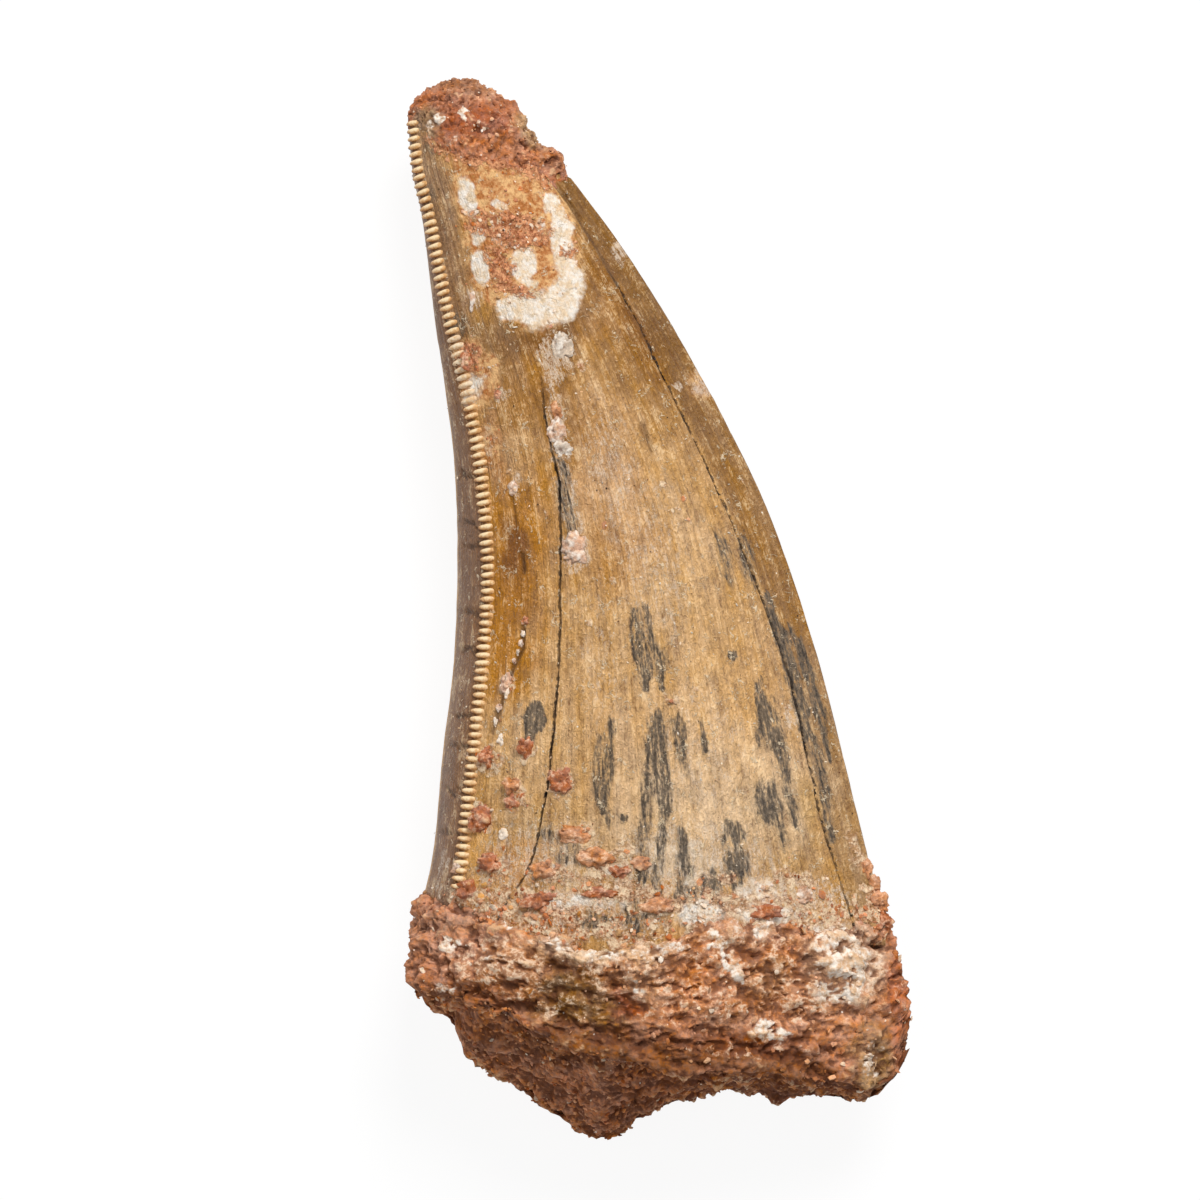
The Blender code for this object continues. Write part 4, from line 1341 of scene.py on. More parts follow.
    def paint(self, points: Array, pixels: Pixels, across: Array, side: Array) -> Paints:
        """Paint the crown: its broad tints, its stains and its cracks.

        Args:
            points: places in millimetres.
            pixels: photo x and y of each place.
            across: share across the face.
            side: how far from the front each place is.

        Returns:
            One array for each title.
        """
        x, y = points[..., 0], points[..., 1]
        front = 1 - smooth_step(side, 0.0, 3.0)
        shown = 1 - smooth_step(side, 5.0, 8.0)
        flow = np.stack([self.face_width * across, y, side], axis=-1)
        long = swayed(flow / np.array([0.8, 2.6, 1.0]), pixels, 0.8, (4.0, 14.0), 31.0)
        bent = swayed(points, pixels, 0.75, (7.0, 7.0), 12.0)
        soft = swayed(points, pixels, 1.1, (4.0, 4.0), 15.0)
        wash = washed(self.base_colour, self.washes, *swayed(points, pixels, 3.0, (16.0, 22.0), 5.0))
        crack, long_line, facet_line = self.cracks(x, y)
        patch = 0.35 * self.patch_rim.cover(*bent) + 0.6 * self.patch.cover(*bent)
        lines = most_of(self.strip_lines, *bent) * smooth_step(side, 0.2, 1.5)
        lines = np.maximum(lines, most_of(self.fine_lines, *pixels) * front)
        spots = most_of(self.dark_spots, *swayed(points, pixels, 0.5, (3.0, 3.0), 8.0))
        open_front = np.stack([np.ones(x.shape), front, front], axis=-1)
        return {
            "flow": flow,
            "wash": self.tinted_edges(wash, x, y, side),
            "grey": np.maximum(most_of(self.grey_marks, *long), spots) * front,
            "cream": most_of(self.cream_marks, *soft) * front,
            "rust": most_of(self.rust_marks, *bent) * front,
            "orange": np.maximum(patch, most_of(self.orange_marks, *soft)) * front,
            "blotch": np.maximum(most_of(self.blotch_marks, *bent), self.film(points)) * front,
            "scuff": most_of(self.scuff_marks, *bent) * shown,
            "crack": np.maximum(crack * front, 0.6 * lines * shown),
            "lines": 0.85 * lines * shown,
            "long_crack": long_line * open_front,
            "facet_crack": facet_line * open_front,
        }

    def film(self, points: Array) -> Array:
        """Return how much of the root's sandstone lies as a broken film on each place.

        Args:
            points: places in millimetres.
        """
        near = 1 - smooth_step(points[..., 1] - FORM.root_break(points[..., 0]), 0.2, self.film_reach)
        broken = 0.8 * rough(points, 1.7, 3, 21.0) + 0.45 * rough(points, 0.6, 2, 33.0)
        return smooth_step(near + broken, 0.55, 1.0)

    def tinted_edges(self, wash: Array, x: Array, y: Array, side: Array) -> Array:
        """Lay the darker tints of the leading facet, of the foot of the saw and of the strip behind it: the
        tint at the foot of the saw is painted shade between the denticles, and the strip's is its own dark
        enamel with painted shade.

        Args:
            wash: linear colours so far.
            x: places across in millimetres.
            y: places along in millimetres.
            side: how far from the front each place is.
        """
        upper, middle, lower = (np.array(linear(tone)) for tone in self.band_tones)
        strip, saw_gap_shade, back = (
            np.array(linear(tone)) for tone in (self.strip_colour_and_shade, self.saw_gap_shade_colour, self.base_colour)
        )
        past = smooth_step(x - FORM.facet_crack(y), 0.0, 0.5)[..., None]
        band = blend(upper, middle, smooth_step(-y, -20, -4)[..., None])
        band = blend(band, lower, smooth_step(-y, 0, 12)[..., None])
        wash = blend(wash, band, 0.8 * past)
        # Painted shade in the gaps between the denticles, in a band just inside the saw edge.
        foot = 1 - smooth_step(x - FORM.saw_edge(y), 0.1, 0.62)
        wash = blend(wash, saw_gap_shade, 0.85 * (foot * (side < 0.1))[..., None])
        # The strip behind the saw edge takes its dark colour, partly painted shade.
        behind = smooth_step(side, 0.0, 0.8)[..., None]
        far = smooth_step(side, 8.4, 9.9)[..., None]
        return blend(blend(wash, strip, behind * (1 - far)), back, far)

    def cracks(self, x: Array, y: Array) -> tuple[Array, Array, Array]:
        """Measure the two long cracks.

        Args:
            x: places across in millimetres.
            y: places along in millimetres.

        Returns:
            How deep in a crack each place is, 0 to 1, and for the long crack and the facet crack a vector of
            the distance from it in millimetres and how open it is there.
        """
        beads = np.stack([np.full(x.shape, 0.3), y, np.full(x.shape, 0.7)], axis=-1)
        worn = np.clip(0.85 + 0.3 * rough(beads, 0.6, 2, 4.4) + 0.2 * rough(beads, 3.0, 2, 14.3), 0.0, 1.0)
        deep, measured = np.zeros(x.shape), []
        for line, seed, top, fade in (
            (FORM.long_crack, self.long_seed, 17.0, 4.0), (FORM.facet_crack, self.facet_seed, 23.5, 1.5),
        ):
            away = x - line(y) - self.stray(y, seed)
            open_here = smooth_step(top - y, 0.0, fade) * worn
            deep = np.maximum(deep, open_here * np.clip(1 - np.abs(away) / self.crack_half, 0, 1))
            measured.append(np.stack([np.clip(away, -2.0, 2.0), open_here, np.zeros(x.shape)], axis=-1))
        return deep, *measured

    def capped(self, points: Array, paints: Paints) -> tuple[Array, Paints]:
        """Close both ends with rows that shrink to a point, hidden in the sandstone.

        Args:
            points: places, rows by columns by 3.
            paints: painted values, rows by columns first.

        Returns:
            The places and the painted values with the new rows.
        """
        shrink = np.linspace(1.0, 0.0, self.cap_rows + 1)[1:, None, None]
        rings = [points[end] for end in (0, -1)]
        centres = [ring[:-1].mean(axis=0) for ring in rings]
        first, last = (centre + (ring - centre) * shrink for ring, centre in zip(rings, centres))
        count = self.cap_rows
        paints = {
            title: np.concatenate([np.repeat(values[:1], count, 0), values, np.repeat(values[-1:], count, 0)])
            for title, values in paints.items()
        }
        return np.concatenate([first[::-1], points, last]), paints


@dataclass
class SawEdge:
    """The row of denticles: one worn bar modelled once and copied along the edge."""

    count: int = 98
    top: float = 33.3
    bottom: float = -19.0
    length: float = 1.6
    width: float = 0.45
    height: float = 0.56
    blunt: float = 2.8
    inset: float = 0.47
    wobble: float = 0.03
    bleached_pixels: Pair = (338.0, 404.0)

    def build(self, finish: Material) -> Object:
        """Return the denticles as one piece in their finish.

        Args:
            finish: the material.
        """
        heights = np.linspace(self.bottom, self.top, 600)
        path = np.stack([FORM.saw_edge(heights), heights, FORM.saw_z(heights)], axis=-1)
        run = np.concatenate([[0.0], np.cumsum(np.linalg.norm(np.diff(path, axis=0), axis=1))])
        pattern = self.pattern_bar()
        bars = []
        for number in range(self.count):
            y = float(np.interp((number + 0.5) / self.count * run[-1], run, heights))
            bars.append(self.set_bar(pattern, number, y))
        bpy.data.objects.remove(pattern)
        return joined("saw_denticles", bars, finish)

    def pattern_bar(self) -> Object:
        """Return the bar that is copied: round in section, blunt at both ends, of half size 1 each way."""
        deselect_all()
        bpy.ops.mesh.primitive_cube_add(size=2.0)
        bar = bpy.context.object
        bpy.ops.object.mode_set(mode="EDIT")
        bpy.ops.mesh.select_all(action="SELECT")
        bpy.ops.mesh.subdivide(number_cuts=3)
        bpy.ops.object.mode_set(mode="OBJECT")
        for vert in bar.data.vertices:
            across = math.hypot(vert.co.y, vert.co.z)
            vert.co /= (abs(vert.co.x) ** self.blunt + across**self.blunt) ** (1 / self.blunt)
        return bar

    def set_bar(self, pattern: Object, number: int, y: float) -> Object:
        """Return a copy of the bar, set on the edge with its inner end sunk in the enamel.

        Args:
            pattern: the bar to copy.
            number: its number from the root, which sets its small differences.
            y: its place along the tooth in millimetres.
        """
        bar = pattern.copy()
        bar.data = pattern.data.copy()
        bpy.context.scene.collection.objects.link(bar)
        edge = Vector((float(FORM.saw_edge(y)), y, float(FORM.saw_z(y))))
        ahead = Vector((float(FORM.saw_edge(y + 0.4)), y + 0.4, float(FORM.saw_z(y + 0.4))))
        along = (ahead - edge).normalized()
        inner = Vector((0.9, 0.0, float(FORM.front_height(edge.x + 0.9, y)) - edge.z))
        inward = (inner - along * inner.dot(along)).normalized()
        up = inward.cross(along).normalized()
        if up.z < 0:
            up = -up
        vary, skew = (noise.noise(Vector((number * step, 4.1, 0.0))) for step in (0.73, 1.9))
        length = self.length * (1 + 0.14 * vary) / 2
        centre = edge + inward * self.inset + up * self.wobble * skew
        relief = []
        first, last = self.bleached_pixels
        pale = 1.0 if first < VIEW.pixel_of(np.array(edge))[1] < last else 0.0
        for vert in bar.data.vertices:
            block = vert.co.copy()
            narrow = 1 + 0.06 * max(block.x, 0.0) - 0.1 * max(-block.x, 0.0)
            sink = 0.28 * max(block.x + 0.3, 0.0) ** 2 + 0.03
            vert.co = (
                centre
                + inward * block.x * length
                + along * (block.y * self.width / 2 * narrow + self.wobble * skew * block.x)
                + up * (block.z * self.height / 2 - sink)
            ) * MM
            # Painted light of each bar, stored as relief: a painted highlight towards its top and one side,
            # painted shade underneath and at its outer end, and a middle level towards its inner end.
            shade = 0.4 + 0.5 * block.z + 0.34 * block.y - 0.3 * max(-block.x - 0.2, 0.0) + 0.1 * vary
            relief.append(blend(shade, 0.5, min(max((block.x - 0.1) / 0.6, 0.0), 1.0)))
        store(bar, "relief", np.array(relief))
        store(bar, "cream", np.full(len(relief), pale))
        return bar


@dataclass(frozen=True)
class Knob:
    """A lump of the sandstone, or a hollow where its height is negative."""

    at: tuple[float, float, float]
    radius: float
    height: float


def knobbed(points: Array, knobs: Sequence[Knob]) -> Array:
    """Return how far the knobs push each place out, in millimetres.

    Args:
        points: places in millimetres.
        knobs: lumps and hollows.
    """
    push = np.zeros(points.shape[:-1])
    for knob in knobs:
        away = np.linalg.norm(points - np.array(knob.at), axis=-1) / knob.radius
        push += knob.height * np.exp(-away * away)
    return push


@dataclass
class RootSandstone:
    """The sandstone round the broken root: a dense skin with knobs, ledges, flakes and pits."""

    columns: int = 452
    side_rows: int = 118
    under_rows: int = 84
    proud: float = 0.3
    buried: float = 0.35
    feather: float = 1.3
    side_middle: Pair = (0.3, 7.2)
    under_middle: Pair = (-0.5, 7.8)
    tuck_shares: tuple[float, float, float] = (0.0, 0.5, 0.85)
    lowest_y: float = -36.3
    lowest_z: float = 0.1
    base_colour: str = "#c0805a"
    knobs: tuple[Knob, ...] = (
        Knob((-15.8, -23.8, 9.5), 2.0, 0.7), Knob((-9.8, -24.6, 13.8), 2.2, 0.7),
        Knob((-15.0, -26.5, 10.0), 1.3, 0.7), Knob((-5.8, -26.2, 13.8), 2.6, -0.8),
        Knob((-1.9, -26.6, 14.3), 1.2, -0.8), Knob((-2.5, -24.2, 14.3), 2.5, 0.4),
        Knob((6.0, -24.6, 13.0), 2.6, 0.5), Knob((8.6, -26.2, 12.5), 1.0, -0.6),
        Knob((12.6, -24.6, 10.5), 2.4, 0.4), Knob((14.8, -30.8, 7.5), 1.8, 0.7),
        Knob((8.6, -33.0, 5.0), 1.4, 0.6), Knob((7.4, -33.0, 5.0), 1.0, 0.3),
        Knob((16.2, -27.0, 6.0), 2.0, 0.5), Knob((-3.5, -34.6, 6.0), 1.8, 0.5),
        Knob((2.0, -30.6, 13.0), 2.0, 0.4), Knob((-11.5, -29.0, 7.0), 1.6, 0.5),
    )
    washes: tuple[Wash, ...] = (
        Wash("#87602f", (575, 998), (66, 32), 0.9, 0.5, 15),
        Wash("#c48d62", (505, 966), (40, 24), 0.8, 0.5), Wash("#cc9474", (448, 932), (34, 32), 0.8, 0.5),
        Wash("#d18a58", (730, 985), (110, 45), 0.9, 0.5, 3),
        Wash("#e0a878", (764, 982), (22, 18), 0.6, 0.5), Wash("#b86540", (628, 1002), (16, 16), 0.8, 0.5),
        Wash("#d69468", (800, 1020), (90, 30), 0.7, 0.5), Wash("#dcb795", (845, 962), (38, 40), 0.7, 0.5),
        Wash("#bf7148", (897, 1010), (12, 60), 0.8, 0.5), Wash("#c9a070", (872, 1075), (22, 34), 0.85, 0.5),
        Wash("#dfba92", (600, 950), (70, 14), 0.8, 0.5, 4),
        # The dark brown washes along the bottom of the base, at y 1042 to 1066, are painted shade of its
        # lower part laid over the stone's own brown.
        Wash("#905a30", (580, 1046), (96, 18), 0.75, 0.5, 12),
        Wash("#84502a", (640, 1050), (150, 16), 0.6, 0.5, 4),
        Wash("#a9683a", (500, 988), (44, 24), 0.6, 0.5),
        Wash("#8a562e", (750, 1066), (130, 12), 0.7, 0.5, 2),
        Wash("#9a6038", (450, 1000), (26, 18), 0.7, 0.5, 20),
        Wash("#d09a70", (640, 930), (200, 12), 0.6, 0.5, 2),
        Wash("#9e5c32", (762, 1042), (44, 14), 0.9, 0.5, 2),
        Wash("#937048", (880, 1050), (16, 34), 0.7, 0.5), Wash("#d8a67c", (646, 978), (26, 20), 0.6, 0.5),
    )
    under_tones: tuple[str, str] = ("#7c4526", "#c88452")
    cream_marks: Marks = (
        Mark((838, 966), (32, 38), 1.0, 0.5), Mark((770, 1032), (18, 12), 0.9, lean=20),
        Stroke(((712, 935, 7), (728, 952, 8), (738, 978, 6)), 0.9), Mark((642, 986), (9, 6), 0.8),
        Mark((450, 945), (14, 10), 0.8), Mark((490, 955), (18, 7), 0.5),
        Stroke(((548, 940, 6), (590, 956, 7), (640, 955, 6), (690, 945, 5)), 0.6),
        Mark((874, 1058), (7, 18), 0.62), Mark((880, 885), (8, 8), 0.6), Mark((443, 992), (10, 8), 0.7),
        Mark((840, 982), (24, 18), 1.5, 0.4), Mark((757, 924), (28, 12), 0.8, 0.5),
        Mark((602, 925), (40, 8), 0.75, 0.5), Mark((522, 920), (22, 8), 0.65, 0.5),
    )
    dust_marks: Marks = (
        Mark((720, 975), (200, 60), 0.46, 0.6, 2), Mark((840, 965), (50, 50), 0.6, 0.5),
        Mark((560, 950), (90, 12), 0.42, 0.5, 8), Mark((790, 990), (90, 36), 0.52),
        Mark((496, 962), (56, 30), 0.5, 0.5), Mark((545, 1000), (60, 20), 0.4, 0.5, 12),
        Mark((760, 1050), (80, 10), 0.4, lean=2),
    )
    # Crevices are pressed in a little and darkened through the fine height: their dark colour is painted
    # shade.
    crevices: Marks = (
        Stroke(((655, 1036, 3), (690, 1044, 4), (722, 1046, 3)), 1.0),
        Stroke(((738, 1046, 3), (772, 1056, 4), (800, 1054, 3)), 0.9),
        Stroke(((560, 1018, 3), (600, 1030, 4), (632, 1034, 3)), 0.9),
        Stroke(((476, 990, 3), (505, 1004, 4), (530, 1008, 3)), 0.9),
        Stroke(((660, 985, 2), (685, 990, 3), (700, 988, 2)), 0.8),
        Stroke(((745, 968, 3), (768, 974, 3)), 0.8),
        Stroke(((448, 908, 3), (466, 914, 4), (486, 920, 3)), 1.0), Mark((628, 1000), (8, 7), 0.9, 0.5),
    )

    def outline(self, y: Array, share: Array) -> tuple[Array, Array]:
        """Walk round the smooth section of the tooth.

        Args:
            y: heights along the tooth, rows by columns.
            share: share of the way round, from the leading edge over the front, one for each column.

        Returns:
            x and z in millimetres.
        """
        knots = np.linspace(0.0, 1.0, 61)
        dense = np.linspace(y.min(), y.max(), 90)[:, None]
        front_x = blend(FORM.leading_edge(dense), FORM.saw_edge(dense), knots[None, :])
        front = (front_x, FORM.front_height(front_x, dense))
        strip = FORM.strip(np.linspace(0.1, 1.0, 10)[None, :], dense)
        belly = FORM.belly_from_bulge(np.linspace(0.02, 1.0, 40)[None, :], dense)
        back = FORM.belly_to_edge(np.linspace(0.02, 1.0, 45)[None, :], dense)
        all_x, all_z = (np.concatenate(values, axis=1) for values in zip(front, strip, belly, back))
        legs = np.hypot(np.diff(all_x, axis=1), np.diff(all_z, axis=1))
        run = np.concatenate([np.zeros((len(dense), 1)), np.cumsum(legs, axis=1)], axis=1)
        run /= run[:, -1:]
        place = (y - dense[0, 0]) / (dense[-1, 0] - dense[0, 0]) * (len(dense) - 1)
        lower = np.clip(place.astype(int), 0, len(dense) - 2)
        part = place - lower
        column = np.broadcast_to(np.arange(len(share)), y.shape)
        found = []
        for rows in (all_x, all_z):
            even = np.stack([np.interp(share, way, values) for way, values in zip(run, rows)])
            found.append(blend(even[lower, column], even[lower + 1, column], part))
        return tuple(found)

    def build(self, finish: Material) -> tuple[Object, Ground]:
        """Return the root sandstone in its finish, and the ground that grit sticks to.

        Args:
            finish: the material.
        """
        share = np.linspace(0.0, 1.0, self.columns)
        dense_front = share + 0.14 * np.sin(2 * math.pi * share) / (2 * math.pi)
        level = np.linspace(0.0, 1.0, self.side_rows)[:, None]
        y = blend(-20.0, -30.0, level) * np.ones((1, self.columns))
        for _ in range(10):
            x, z = self.outline(y, dense_front)
            top = FORM.root_break(x) + self.feather
            y = blend(top, FORM.root_underside(x, z), level)
        below = FORM.root_break(x) - y
        proud = blend(-self.buried, self.proud, smooth_step(below, -self.feather, 0.4))
        away = np.stack([x, z], axis=-1) - np.array(self.side_middle)
        away /= np.linalg.norm(away, axis=-1, keepdims=True)
        points = np.stack([x + away[..., 0] * proud, y, z + away[..., 1] * proud], axis=-1)
        points = self.closed(points)
        normal = outward(points, (40, self.columns // 5, 2))
        push, relief = self.relief(points, normal)
        points = points + normal * push[..., None]
        points[..., 1] = np.maximum(points[..., 1], self.lowest_y)
        points[..., 2] = np.maximum(points[..., 2], self.lowest_z)
        points[:, -1] = points[:, 0]
        for end in (0, -1):
            points[end] = points[end, :-1].mean(axis=0)
        pixels = VIEW.pixel_of(points)
        paints = self.paint(points, normal, pixels, relief)
        ground = Ground.cut((slice(4, -8), slice(0, -1)), points, normal, pixels, paints)
        return add_skin("root_sandstone", points, paints, finish), ground

    def closed(self, points: Array) -> Array:
        """Add the hidden rows inside the crown and the rows of the broken underside.

        Args:
            points: places in millimetres, rows by columns by 3.

        Returns:
            The places with the new rows.
        """
        centre = np.array([points[0, :, 0].mean(), 0.0, points[0, :, 2].mean()])
        top_rows, bottom_rows = [], []
        for share in self.tuck_shares:
            ring = centre + (points[0] - centre) * share
            ring[:, 1] = FORM.root_break(ring[:, 0]) + self.feather
            top_rows.append(ring)
        centre = np.array([self.under_middle[0], 0.0, self.under_middle[1]])
        for share in np.linspace(1.0, 0.0, self.under_rows + 1)[1:]:
            ring = centre + (points[-1] - centre) * share
            ring[:, 1] = FORM.root_underside(ring[:, 0], ring[:, 2])
            bottom_rows.append(ring)
        return np.concatenate([np.array(top_rows), points, np.array(bottom_rows)])

    def relief(self, points: Array, normal: Array) -> tuple[Array, Array]:
        """Work out the lumps, ledges, flakes and pits.

        Args:
            points: places in millimetres.
            normal: unit normals there.

        Returns:
            How far each place stands out in millimetres, and its fine height from 0 in a pit to 1 on a flake.
        """
        x, y = points[..., 0], points[..., 1]
        below = smooth_step(FORM.root_break(x) - y, -0.9, 0.9)
        push = 0.5 * rough(points, 2.4, 2) * blend(0.5, 1.0, below) + knobbed(points, self.knobs) * below
        wander = rough(points, 5.0, 2, 2.0)
        bedding = 0.5 + 0.5 * np.sin(2.6 * y + 0.5 * x + 4 * wander)
        facing = smooth_step(normal[..., 2], 0.1, 0.7)
        push += 0.35 * (bedding**0.5 - 0.5) * blend(0.3, 1.0, facing) * below
        bent = points + 0.35 * np.stack([rough(points, 0.8, 2, k) for k in (31.0, 47.0, 59.0)], axis=-1)
        flakes = cells(bent * np.array([0.6, 1.0, 0.8]), 0.75, 1.0)
        lumps = cells(bent, 1.5, 7.0)
        folds = creases(bent * np.array([0.7, 1.0, 0.9]), 1.9, 4, 3.0)
        grains = rough(points, 0.38, 3, 3.0)
        pits = smooth_step(rough(bent, 0.8, 2, 6.0), 0.3, 0.55)
        crevices = most_of(self.crevices, *swayed(points, VIEW.pixel_of(points), 0.7, (9.0, 7.0), 27.0))
        pits = np.maximum(pits, 1.6 * crevices * facing)
        fine = 0.34 * (flakes - 0.45) + 0.3 * (lumps - 0.4) + 0.5 * (folds - 0.45)
        fine += 0.17 * grains - 0.25 * pits
        height = 0.6 + 0.55 * (flakes - 0.4) + 0.4 * (lumps - 0.4) + 0.9 * (folds - 0.45) + 0.35 * grains
        height += 0.25 * (bedding - 0.5) * facing - 0.5 * pits
        # On faces that slope down, the fine height is stretched and crumbled so that the painted shade in
        # pits and the painted highlight on crests show stronger there.
        under = smooth_step(-normal[..., 1] - 0.9 * normal[..., 2], 0.1, 0.8)
        sloping = smooth_step(-normal[..., 1], 0.3, 0.75)
        crumbly = sloping * (cells(bent + 5.0, 0.56, 13.0) - 0.42)
        height = blend(height, 0.55 + 1.8 * (height - 0.55), under) + 0.9 * crumbly
        fine += 0.18 * crumbly
        return push + fine * blend(0.5, 1.0, below) * (1 + 0.15 * under), np.clip(height, 0.0, 1.2)

    def paint(self, points: Array, normal: Array, pixels: Pixels, relief: Array) -> Paints:
        """Paint the sandstone: its broad tints, its cream patches and its fine heights.

        Args:
            points: places in millimetres.
            normal: unit normals there.
            pixels: photo x and y of each place.
            relief: fine height, 0 to 1.

        Returns:
            One array for each title.
        """
        facing = smooth_step(normal[..., 2], -0.2, 0.35)
        wash = washed(self.base_colour, self.washes, *swayed(points, pixels, 1.6, (14.0, 12.0), 5.0))
        under = smooth_step(-normal[..., 1] - 0.9 * normal[..., 2], 0.1, 0.8)
        dark, light = (np.array(linear(tone)) for tone in self.under_tones)
        rusty = 0.35 * smooth_step(pixels[0], 610.0, 530.0)
        mottled = smooth_step(rough(points, 0.9, 4, 41.0) + rusty, -0.35, 0.5)[..., None]
        wash = blend(wash, blend(dark, light, mottled), under[..., None])
        bent = swayed(points, pixels, 0.9, (9.0, 8.0), 17.0)
        raised = smooth_step(relief, 0.05, 0.45)
        return {
            "wash": wash,
            "relief": relief,
            "cream": most_of(self.cream_marks, *bent) * facing * raised,
            "dust": most_of(self.dust_marks, *pixels) * facing * raised + 0.3 * under * raised,
        }


@dataclass
class TipCrust:
    """The sandstone cap on the worn tip: domed slices along the line of the break, dense and granular."""

    stations: int = 190
    foot: int = 28
    dome: int = 190
    under: int = 20
    ends: Pair = (-16.85, -6.0)
    proud: float = 0.12
    sink: float = 0.3
    inset: float = 0.15
    least: float = 0.5
    feather: float = 1.0
    base_colour: str = "#b3704b"
    washes: tuple[Wash, ...] = (
        Wash("#a87a58", (470, 84), (44, 12), 0.6, 0.5, 5),
        Wash("#97785a", (427, 128), (13, 22), 0.95, 0.4, 10),
        Wash("#b08c64", (530, 133), (10, 22), 0.9, 0.4, -35),
        Wash("#c47c4c", (500, 148), (44, 14), 0.7, 0.5, 10),
        Wash("#ab714c", (552, 160), (16, 14), 0.8, 0.5), Wash("#9d5534", (475, 122), (34, 14), 0.7, 0.5),
    )
    cream_marks: Marks = (
        Mark((441, 119), (5, 5), 0.9), Mark((429, 129), (4, 8), 0.9), Mark((463, 113), (3, 7), 0.8),
        Mark((482, 127), (3, 3), 0.8), Mark((452, 142), (7, 3), 0.6, lean=-40),
        Mark((509, 128), (3, 3), 0.7),
    )
    bumps: tuple[Knob, ...] = (
        Knob((-15.3, 34.9, 6.0), 0.6, 0.25), Knob((-14.2, 35.6, 6.0), 0.5, 0.25),
        Knob((-13.3, 35.9, 6.0), 0.6, 0.3), Knob((-12.2, 35.7, 6.0), 0.5, 0.3),
        Knob((-11.0, 35.1, 6.0), 0.5, 0.3), Knob((-9.8, 34.4, 6.0), 0.5, 0.3),
        Knob((-9.1, 33.3, 6.2), 0.5, 0.25), Knob((-6.7, 30.8, 6.2), 0.9, 0.4),
        Knob((-8.4, 32.3, 6.4), 0.6, 0.4), Knob((-11.5, 33.0, 8.0), 1.5, 0.2),
        Knob((-12.5, 33.5, 8.0), 0.8, -0.3), Knob((-13.9, 32.7, 7.8), 0.6, -0.3),
    )

    def build(self, finish: Material) -> tuple[Object, Ground]:
        """Return the crust in its finish, and the ground that grit sticks to.

        Args:
            finish: the material.
        """
        x = np.linspace(*self.ends, self.stations)[:, None]
        base = FORM.tip_break(x)
        right_end, left_end = self.ends[1] - x, x - self.ends[0]
        rounded = np.sqrt(np.clip(right_end / 1.1, 0.06, 1.0) * np.clip(left_end / 0.5, 0.2, 1.0))
        top = base + np.maximum(FORM.crust_top(x) - self.inset - base, self.least) * rounded
        shown = np.clip(x, FORM.saw_edge(base) + self.inset, FORM.leading_edge(base) - self.inset)
        middle = blend(FORM.bulge_z(base), FORM.leading_z(base), 0.5)
        front = FORM.front_height(shown, base)
        back = blend(FORM.belly_z(base), middle, 0.12)
        near_end = smooth_step(np.minimum(left_end, right_end), -0.1, 3.0)
        half_back = (middle - back) * blend(0.35, 1.0, near_end)
        half_front = (front - middle) * blend(0.5, 1.0, rounded)
        foot = np.linspace(0.0, 1.0, self.foot, endpoint=False)[None, :]
        dome = np.linspace(0.0, math.pi, self.dome)[None, :]
        under = np.linspace(0.0, 1.0, self.under)[None, 1:]
        rise = self.proud * smooth_step(foot, 0.1, 1.0) - self.sink * (1 - foot)
        foot_y = base - self.feather * (1 - foot)
        front_foot = FORM.front_height(np.broadcast_to(shown, foot_y.shape), foot_y) + rise
        reach = np.where(dome < math.pi / 2, half_front + self.proud, half_back + self.proud)
        dome_y = base + (top - base) * np.sin(dome) ** 0.8
        dome_z = middle + reach * np.cos(dome)
        back_foot = np.broadcast_to(dome_z[:, -1:], foot_y.shape) + self.sink * foot
        low_z = blend(back_foot[:, -1:], front_foot[:, :1], under)
        low_y = np.broadcast_to(foot_y[:, :1], low_z.shape)
        y = np.concatenate([foot_y, dome_y, base - self.feather * foot[:, 1:], low_y], axis=1)
        z = np.concatenate([front_foot, dome_z, back_foot[:, 1:], low_z], axis=1)
        points = np.stack([np.broadcast_to(x, y.shape), y, z], axis=-1)
        points[:, -1] = points[:, 0]
        normal = outward(points, (self.stations // 2, self.foot + self.dome // 2, 1))
        push, relief = self.relief(points)
        points = points + normal * push[..., None]
        points[:, -1] = points[:, 0]
        pixels = VIEW.pixel_of(points)
        bent = swayed(points, pixels, 0.7, (6.0, 6.0), 17.0)
        paints = {
            "wash": washed(self.base_colour, self.washes, *bent),
            "relief": relief,
            "cream": most_of(self.cream_marks, *bent),
            "dust": np.full(relief.shape, 0.22),
        }
        open_part = slice(2, -2), slice(4, self.foot + self.dome - 20)
        ground = Ground.cut(open_part, points, normal, pixels, paints)
        first, last = (np.broadcast_to(points[end].mean(axis=0), (1, *points[end].shape)) for end in (0, -1))
        points = np.concatenate([first, points, last])
        paints = {title: np.concatenate([v[:1], v, v[-1:]]) for title, v in paints.items()}
        return add_skin("tip_sandstone", points, paints, finish), ground

